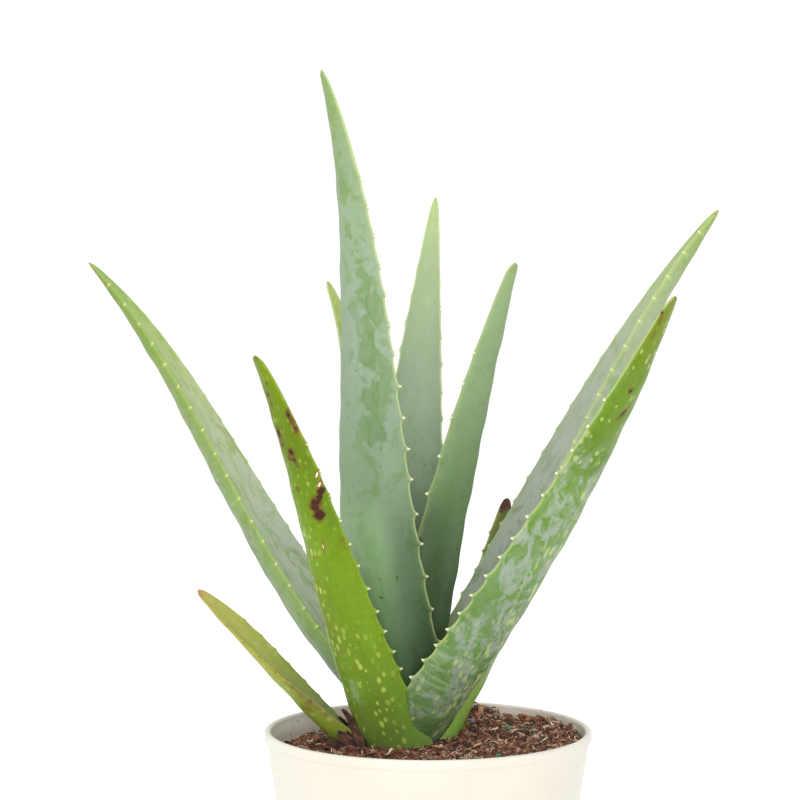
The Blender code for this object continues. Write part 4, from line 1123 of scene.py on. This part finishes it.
def placeLitter():
    rng = random.Random(litter["seed"])
    reach = potInnerRadius(soil["level"]) - 0.002
    barkStops = [(0.0, "21161A"), (0.25, "47291F"), (0.5, "7B4630"), (0.72, "99674A"), (0.88, "BA997C"),
                 (1.0, "D9C8AC")]
    barkSkin = makeBarkSkin("shreddedBark", barkStops, 0.0012, 0.85)
    chipSkin = makeBarkSkin("pineBarkChips", barkStops, 0.0018, 0.8)

    # shreds: fibres of bark 1.5 to 5 mm long, in every direction, many curled
    shreds = [shapedBlock("shred", (1, rng.uniform(0.1, 0.2), 0.09), 3, 0.06,
                          (rng.uniform(-0.35, 0.35), rng.uniform(0.0, 0.40)), n) for n in range(8)]
    spots = []
    while len(spots) < litter["shreds"]:
        x, y = randomPlace(rng, reach)
        spot = soilSpot(x, y, 0.0011)
        roll = [rng.random() for k in range(7)]
        if not spot:
            continue
        length = 0.0014 + 0.0032 * roll[0] ** 2
        away = math.hypot(x, y)
        steep = 0.25 + 0.5 * roll[1] ** 3
        turn = Euler((roll[2] * 6.28, (roll[3] - 0.5) * 2 * steep, roll[4] * 6.28)).to_matrix()
        lift = 0.0002 + 0.0010 * roll[5] ** 2
        near = math.exp(-((x - crown[0]) ** 2 + (y - crown[1]) ** 2) / (2 * 0.022 ** 2))
        tone = min(1, max(0, 0.26 + 0.8 * roll[6] - 0.14 * near + 0.10 * math.sin(x * 180) * math.cos(y * 150)))
        keep = min(1.0, (reach + 0.0015 - away) / 0.002)
        size = (length * max(0.4, keep), length, length)
        spots.append((len(spots), spot + Vector((0, 0, lift)), turn, size, tone))
    scatter("barkShreds", shreds, spots, barkSkin, 40)

    # chips: flat pieces of bark 2 to 6 mm long, piled up at the right and behind
    chips = [shapedBlock("chip", (1, 0.55, 0.2), 2, 0.12,
                         (rng.uniform(-0.08, 0.08), rng.uniform(-0.05, 0.1)), 40 + n) for n in range(6)]
    heaps = [(0.0483, 0.0307, 0.006, 16), (0.0547, 0.0241, 0.004, 8), (0.0195, 0.0378, 0.004, 16),
             (0.0275, 0.0333, 0.004, 6), (0.0354, 0.0264, 0.003, 4), (-0.030, -0.020, 0.008, 10)]
    places = [(rng.gauss(hx, spread), rng.gauss(hy, spread))
              for hx, hy, spread, count in heaps for k in range(count)]
    while len(places) < litter["chips"]:
        places.append(randomPlace(rng, reach - 0.002))
    spots = []
    for x, y in places:
        roll = [rng.random() for k in range(6)]
        spot = soilSpot(x, y, 0.0030) if math.hypot(x, y) < reach - 0.0025 else None
        if not spot:
            continue
        length = 0.0022 + 0.0034 * roll[0] ** 2
        turn = Euler(((roll[1] - 0.5) * 0.9, (roll[2] - 0.5) * 0.9, roll[3] * 6.28)).to_matrix()
        tone = 0.15 + 0.65 * roll[4]
        spots.append((len(spots), spot + Vector((0, 0, 0.0004 + 0.0009 * roll[5])), turn, (length,) * 3, tone))
    scatter("barkChips", chips, spots, chipSkin, 35)

    # crumbs of peat and bark dust, 0.8 to 2.2 mm
    crumbs = [shapedBall("crumb", 1, 0.22, 0.8, 60 + n) for n in range(5)]
    spots = []
    while len(spots) < litter["crumbs"]:
        x, y = randomPlace(rng, reach)
        spot = soilSpot(x, y, 0.0014)
        roll = [rng.random() for k in range(4)]
        if spot:
            size = 0.0008 + 0.0014 * roll[0] ** 2
            turn = Euler((roll[1] * 6.28, roll[2] * 6.28, 0)).to_matrix()
            spots.append((len(spots), spot + Vector((0, 0, size * 0.3)), turn, (size,) * 3, roll[3] ** 1.5))
    scatter("peatCrumbs", crumbs, spots, barkSkin, 30)

    # fertiliser grains: coated beads 2 to 2.6 mm across; the first ones lie where the photograph shows them
    grains = [shapedBall("grain", 2, 0.035, 0.95, 80 + n) for n in range(3)]
    seen = [(0.0330, 0.0569, 0.3), (0.0283, 0.0423, 0.75), (0.0182, 0.0229, 1.0), (0.0323, 0.0111, 0.35),
            (0.0386, 0.0171, 0.3), (0.0423, 0.0102, 0.5), (-0.0440, 0.0180, 0.4), (-0.0400, 0.0120, 0.6),
            (0.0365, 0.0400, 0.2)]
    spots = []
    while len(spots) < litter["prills"]:
        x, y, tone = seen.pop(0) if seen else (*randomPlace(rng, reach - 0.003), rng.random() * 0.7)
        roll = [rng.random() for k in range(3)]
        spot = soilSpot(x, y, 0.0022)
        if spot:
            size = 0.0020 + 0.0006 * roll[0]
            turn = Euler((roll[1] * 6.28, roll[2] * 6.28, 0)).to_matrix()
            spots.append((len(spots), spot + Vector((0, 0, size * 0.2 + 0.0004)), turn, (size,) * 3, tone))
    coat = newMaterial("fertiliserCoat")   # resin-coated beads: smooth, slightly glossy, teal, dusty
    where = addNode(coat, "TexCoord").outputs["Object"]
    tone = addNode(coat, "Attribute", attribute_name="tone").outputs["Fac"]
    dust = addNode(coat, "TexNoise", {"Vector": where, "Scale": 900.0, "Detail": 3.0})   # dust 1.1 mm
    teal = addNode(coat, "ValToRGB", {0: tone}, stops=[(0.0, "0E6B57"), (0.5, "1F8A73"), (0.8, "7FA592"),
                                                               (1.0, "6E7F86")])
    film = addNode(coat, "MapRange", {0: dust, 1: 0.5, 2: 0.7, 3: 0.0, 4: 0.8})
    colour = addNode(coat, "Mix", {0: film, 1: teal, 2: "6A4A3A"}, data_type="RGBA")
    shader = addNode(coat, "BsdfPrincipled", {"Base Color": colour, "Roughness": 0.38})
    addNode(coat, "OutputMaterial", {0: shader})
    scatter("fertiliserGrains", grains, spots, coat, 80)


placeLitter()
print("litter is placed")


def placeFibres():   # coir: stiff brown hairs of 0.2 mm, looping out of the soil
    rng = random.Random(29)
    curve = bpy.data.curves.new("coirFibres", "CURVE")
    curve.dimensions = "3D"
    curve.bevel_depth = 0.00011
    curve.bevel_resolution = 0
    curve.resolution_u = 3
    reach = potInnerRadius(soil["level"]) - 0.003
    count = 0
    while count < litter["fibres"]:
        x, y = randomPlace(rng, reach)
        heading, bend, length = rng.uniform(0, 6.28), rng.uniform(-1.6, 1.6), rng.uniform(0.006, 0.018)
        arch, steps = rng.uniform(0.0008, 0.0042), 7
        points = []
        for i in range(steps):
            t = i / (steps - 1)
            angle = heading + bend * t
            x += math.cos(angle) * length / steps
            y += math.sin(angle) * length / steps
            spot = soilSpot(x, y, 0.0012) if math.hypot(x, y) < reach else None
            if not spot:
                break
            points.append(spot + Vector((0, 0, arch * math.sin(math.pi * t) - 0.0003)))
        if len(points) < steps:
            continue
        spline = curve.splines.new("NURBS")
        spline.points.add(steps - 1)
        spline.use_endpoint_u = True
        spline.order_u = 4
        for point, place in zip(spline.points, points):
            point.co = (*place, 1)
        count += 1
    obj = bpy.data.objects.new("coirFibres", curve)
    bpy.context.scene.collection.objects.link(obj)
    curve.use_fill_caps = True
    makeActive(obj)
    bpy.ops.object.convert(target="MESH")
    obj = bpy.context.object
    mesh = obj.data
    tones = [0.35 + 0.25 * math.sin(v.co.x * 900) for v in mesh.vertices]
    mesh.attributes.new("tone", "FLOAT", "POINT").data.foreach_set("value", tones)
    finishPiece(obj, makeBarkSkin("coirHair", [(0.0, "3A221A"), (0.5, "6E4433"), (1.0, "A27C5E")], 0.002, 0.7),
                [], 60)


placeFibres()


def curledScrap(name, length, width, curl, seed):   # a torn, curled strip of dead leaf
    deselectAll()
    bpy.ops.mesh.primitive_grid_add(x_subdivisions=16, y_subdivisions=6, size=1)
    obj = bpy.context.object
    obj.name = name
    rng = random.Random(seed)
    phase = rng.uniform(0, 6)
    for vertex in obj.data.vertices:
        u, v = vertex.co.x + 0.5, vertex.co.y
        taper = 1 - 0.5 * u + 0.12 * math.sin(u * 17 + phase) * (1 if v > 0 else -1)
        angle = curl * u
        ripple = 0.05 * length * math.sin(u * 9 + v * 5 + phase)
        across = v * width * taper
        vertex.co = (length * math.sin(angle) / max(curl, 0.01), across,
                     length * (1 - math.cos(angle)) / max(curl, 0.01) + ripple + across * across * 30)
    mod = obj.modifiers.new("thick", "SOLIDIFY")
    mod.thickness = 0.00035
    mod.offset = 0
    applyModifiers(obj)
    return obj


def placeScraps():   # the dead leaf's torn base, standing round the foot of the low leaf
    rng = random.Random(5)
    spots = [(-0.0330, -0.0090, 0.0075, 0.0080, 1.9, 35, 40), (-0.0375, -0.0040, 0.006, 0.0070, 1.7, 75, 42),
             (-0.0275, -0.0130, 0.0075, 0.0070, 2.0, -10, 40), (-0.0245, -0.0125, 0.0085, 0.0040, 1.2, -40, 60),
             (-0.0320, 0.0060, 0.007, 0.006, 1.4, 120, 50), (-0.0225, 0.0100, 0.007, 0.005, 1.2, 100, 56)]
    for n, (x, y, length, width, curl, yaw, pitch) in enumerate(spots):
        spot = soilSpot(x, y, 0.0)
        if not spot:
            continue
        obj = curledScrap("driedScrap%d" % (n + 1), length, width, curl, 50 + n)
        turn = Euler((rng.uniform(-0.3, 0.3), math.radians(-pitch), math.radians(yaw + 180))).to_matrix()
        for vertex in obj.data.vertices:
            vertex.co = spot + Vector((0, 0, -0.001)) + turn @ vertex.co
        uv = obj.data.uv_layers.new(name="skin")
        for loop, corner in zip(obj.data.loops, uv.data):
            co = turn.inverted() @ (obj.data.vertices[loop.vertex_index].co - spot)
            corner.uv = (co.y * 1000, co.x * 1000)
        finishPiece(obj, driedSkin, [], 50)


placeScraps()


def placeCollar():   # the torn, dried sheath that wraps the low leaf where it leaves the soil
    leaf = lowLeftLeaf
    collar = {"turns": 56, "rows": 12, "around": 155, "low": 0.0035, "high": 0.0150, "gap": 0.0008}
    deselectAll()
    bpy.ops.mesh.primitive_grid_add(x_subdivisions=collar["turns"], y_subdivisions=collar["rows"], size=1)
    obj = bpy.context.object
    obj.name = "driedCollar"
    places = []
    for vertex in obj.data.vertices:
        angle = math.radians(collar["around"] * 2 * vertex.co.x)
        v = vertex.co.y + 0.5
        torn = 0.0016 * math.sin(angle * 3 + 1) + 0.0011 * math.sin(angle * 9)
        high = collar["high"] + torn + 0.0008 * math.sin(angle * 19 + 2)
        reach = collar["low"] + (high - collar["low"]) * v
        s = np.array([reach / leaf["length"]])
        along, face, across = (part[0] for part in leafFrame(leaf, s))
        ripple = 0.0004 * math.sin(angle * 11 + v * 3) + 0.0002 * math.sin(angle * 23)
        out = collar["gap"] + 0.0010 * v * v + ripple
        half = halfWidth(leaf, s)[0] + out
        deep = leaf["thick"] * 0.62 + out
        place = leafAxis(leaf, s)[0] + across * half * math.cos(angle) + face * deep * math.sin(angle)
        places.append(place)
    for vertex, place in zip(obj.data.vertices, places):
        vertex.co = place
    while obj.data.uv_layers:
        obj.data.uv_layers.remove(obj.data.uv_layers[0])
    uv = obj.data.uv_layers.new(name="skin")
    rows = collar["turns"] + 1
    for loop, corner in zip(obj.data.loops, uv.data):
        corner.uv = (loop.vertex_index % rows * 0.75, loop.vertex_index // rows * 0.95)
    mod = obj.modifiers.new("thick", "SOLIDIFY")
    mod.thickness = 0.0004
    mod.offset = 1
    applyModifiers(obj)
    finishPiece(obj, driedSkin, [], 50)


placeCollar()


def placeUprightChip():   # the reddish sliver that leans on the pot's wall at the right
    obj = shapedBlock("uprightChip", (1, 0.34, 0.12), 4, 0.09, (0.05, 0.06), 77)
    spot = soilSpot(0.0577, 0.0057, 0.002)
    turn = Euler((0.3, math.radians(-74), 0.5)).to_matrix()
    for vertex in obj.data.vertices:
        vertex.co = spot + Vector((-0.001, 0, 0.0018)) + turn @ (vertex.co * 0.0058)
    tones = [0.42] * len(obj.data.vertices)
    obj.data.attributes.new("tone", "FLOAT", "POINT").data.foreach_set("value", tones)
    finishPiece(obj, bpy.data.materials["pineBarkChips"], [], 35)


placeUprightChip()


def placeSprouts():   # tiny seedlings and moss by the crown: bright, thin, rounded leaflets
    rng = random.Random(8)
    deselectAll()
    bpy.ops.mesh.primitive_circle_add(vertices=10, radius=0.5, fill_type="TRIFAN")
    leaflet = bpy.context.object
    bpy.ops.object.mode_set(mode="EDIT")
    bpy.ops.mesh.select_all(action="SELECT")
    bpy.ops.mesh.subdivide(number_cuts=1)
    bpy.ops.object.mode_set(mode="OBJECT")
    for vertex in leaflet.data.vertices:
        x, y = vertex.co.x, vertex.co.y
        vertex.co = (x + 0.5, y * (0.75 - 0.25 * x), 0.35 * y * y + 0.25 * x * x)
    mod = leaflet.modifiers.new("thick", "SOLIDIFY")
    mod.thickness = 0.07
    applyModifiers(leaflet)
    spots = []
    for cx, cy in ((0.0091, 0.0181), (0.0049, 0.0081), (0.0029, 0.0102), (0.0120, 0.0150), (0.0075, 0.0125),
                   (0.0105, 0.0100), (0.0140, 0.0190), (0.0060, 0.0160)):
        for k in range(7):
            x, y = cx + rng.gauss(0, 0.0014), cy + rng.gauss(0, 0.0014)
            roll = [rng.random() for n in range(4)]
            spot = soilSpot(x, y, 0.0006)
            if spot:
                size = 0.0014 + 0.0012 * roll[0]
                turn = Euler((0, -0.2 - 0.9 * roll[1], roll[2] * 6.28)).to_matrix()
                spots.append((0, spot + Vector((0, 0, 0.0004 + 0.0016 * roll[3])), turn, (size,) * 3, roll[3]))
    mat = newMaterial("sproutLeaf")   # seedling leaves: soft, thin, bright, with light showing through
    tone = addNode(mat, "Attribute", attribute_name="tone").outputs["Fac"]
    colour = addNode(mat, "ValToRGB", {0: tone}, stops=[(0.0, "4E7A1E"), (0.6, "86B52E"), (1.0, "A6CC4A")])
    shader = addNode(mat, "BsdfPrincipled", {
        "Base Color": colour, "Roughness": 0.5, "Subsurface Weight": 0.3, "Subsurface Radius": (0.5, 1.0, 0.2),
        "Subsurface Scale": 0.0008})
    addNode(mat, "OutputMaterial", {0: shader})
    if spots:
        scatter("seedlings", [leaflet], spots, mat, 60)


placeSprouts()
print("fibres, scraps and seedlings are placed")

for cutter in leafCutters:
    bpy.data.objects.remove(cutter)
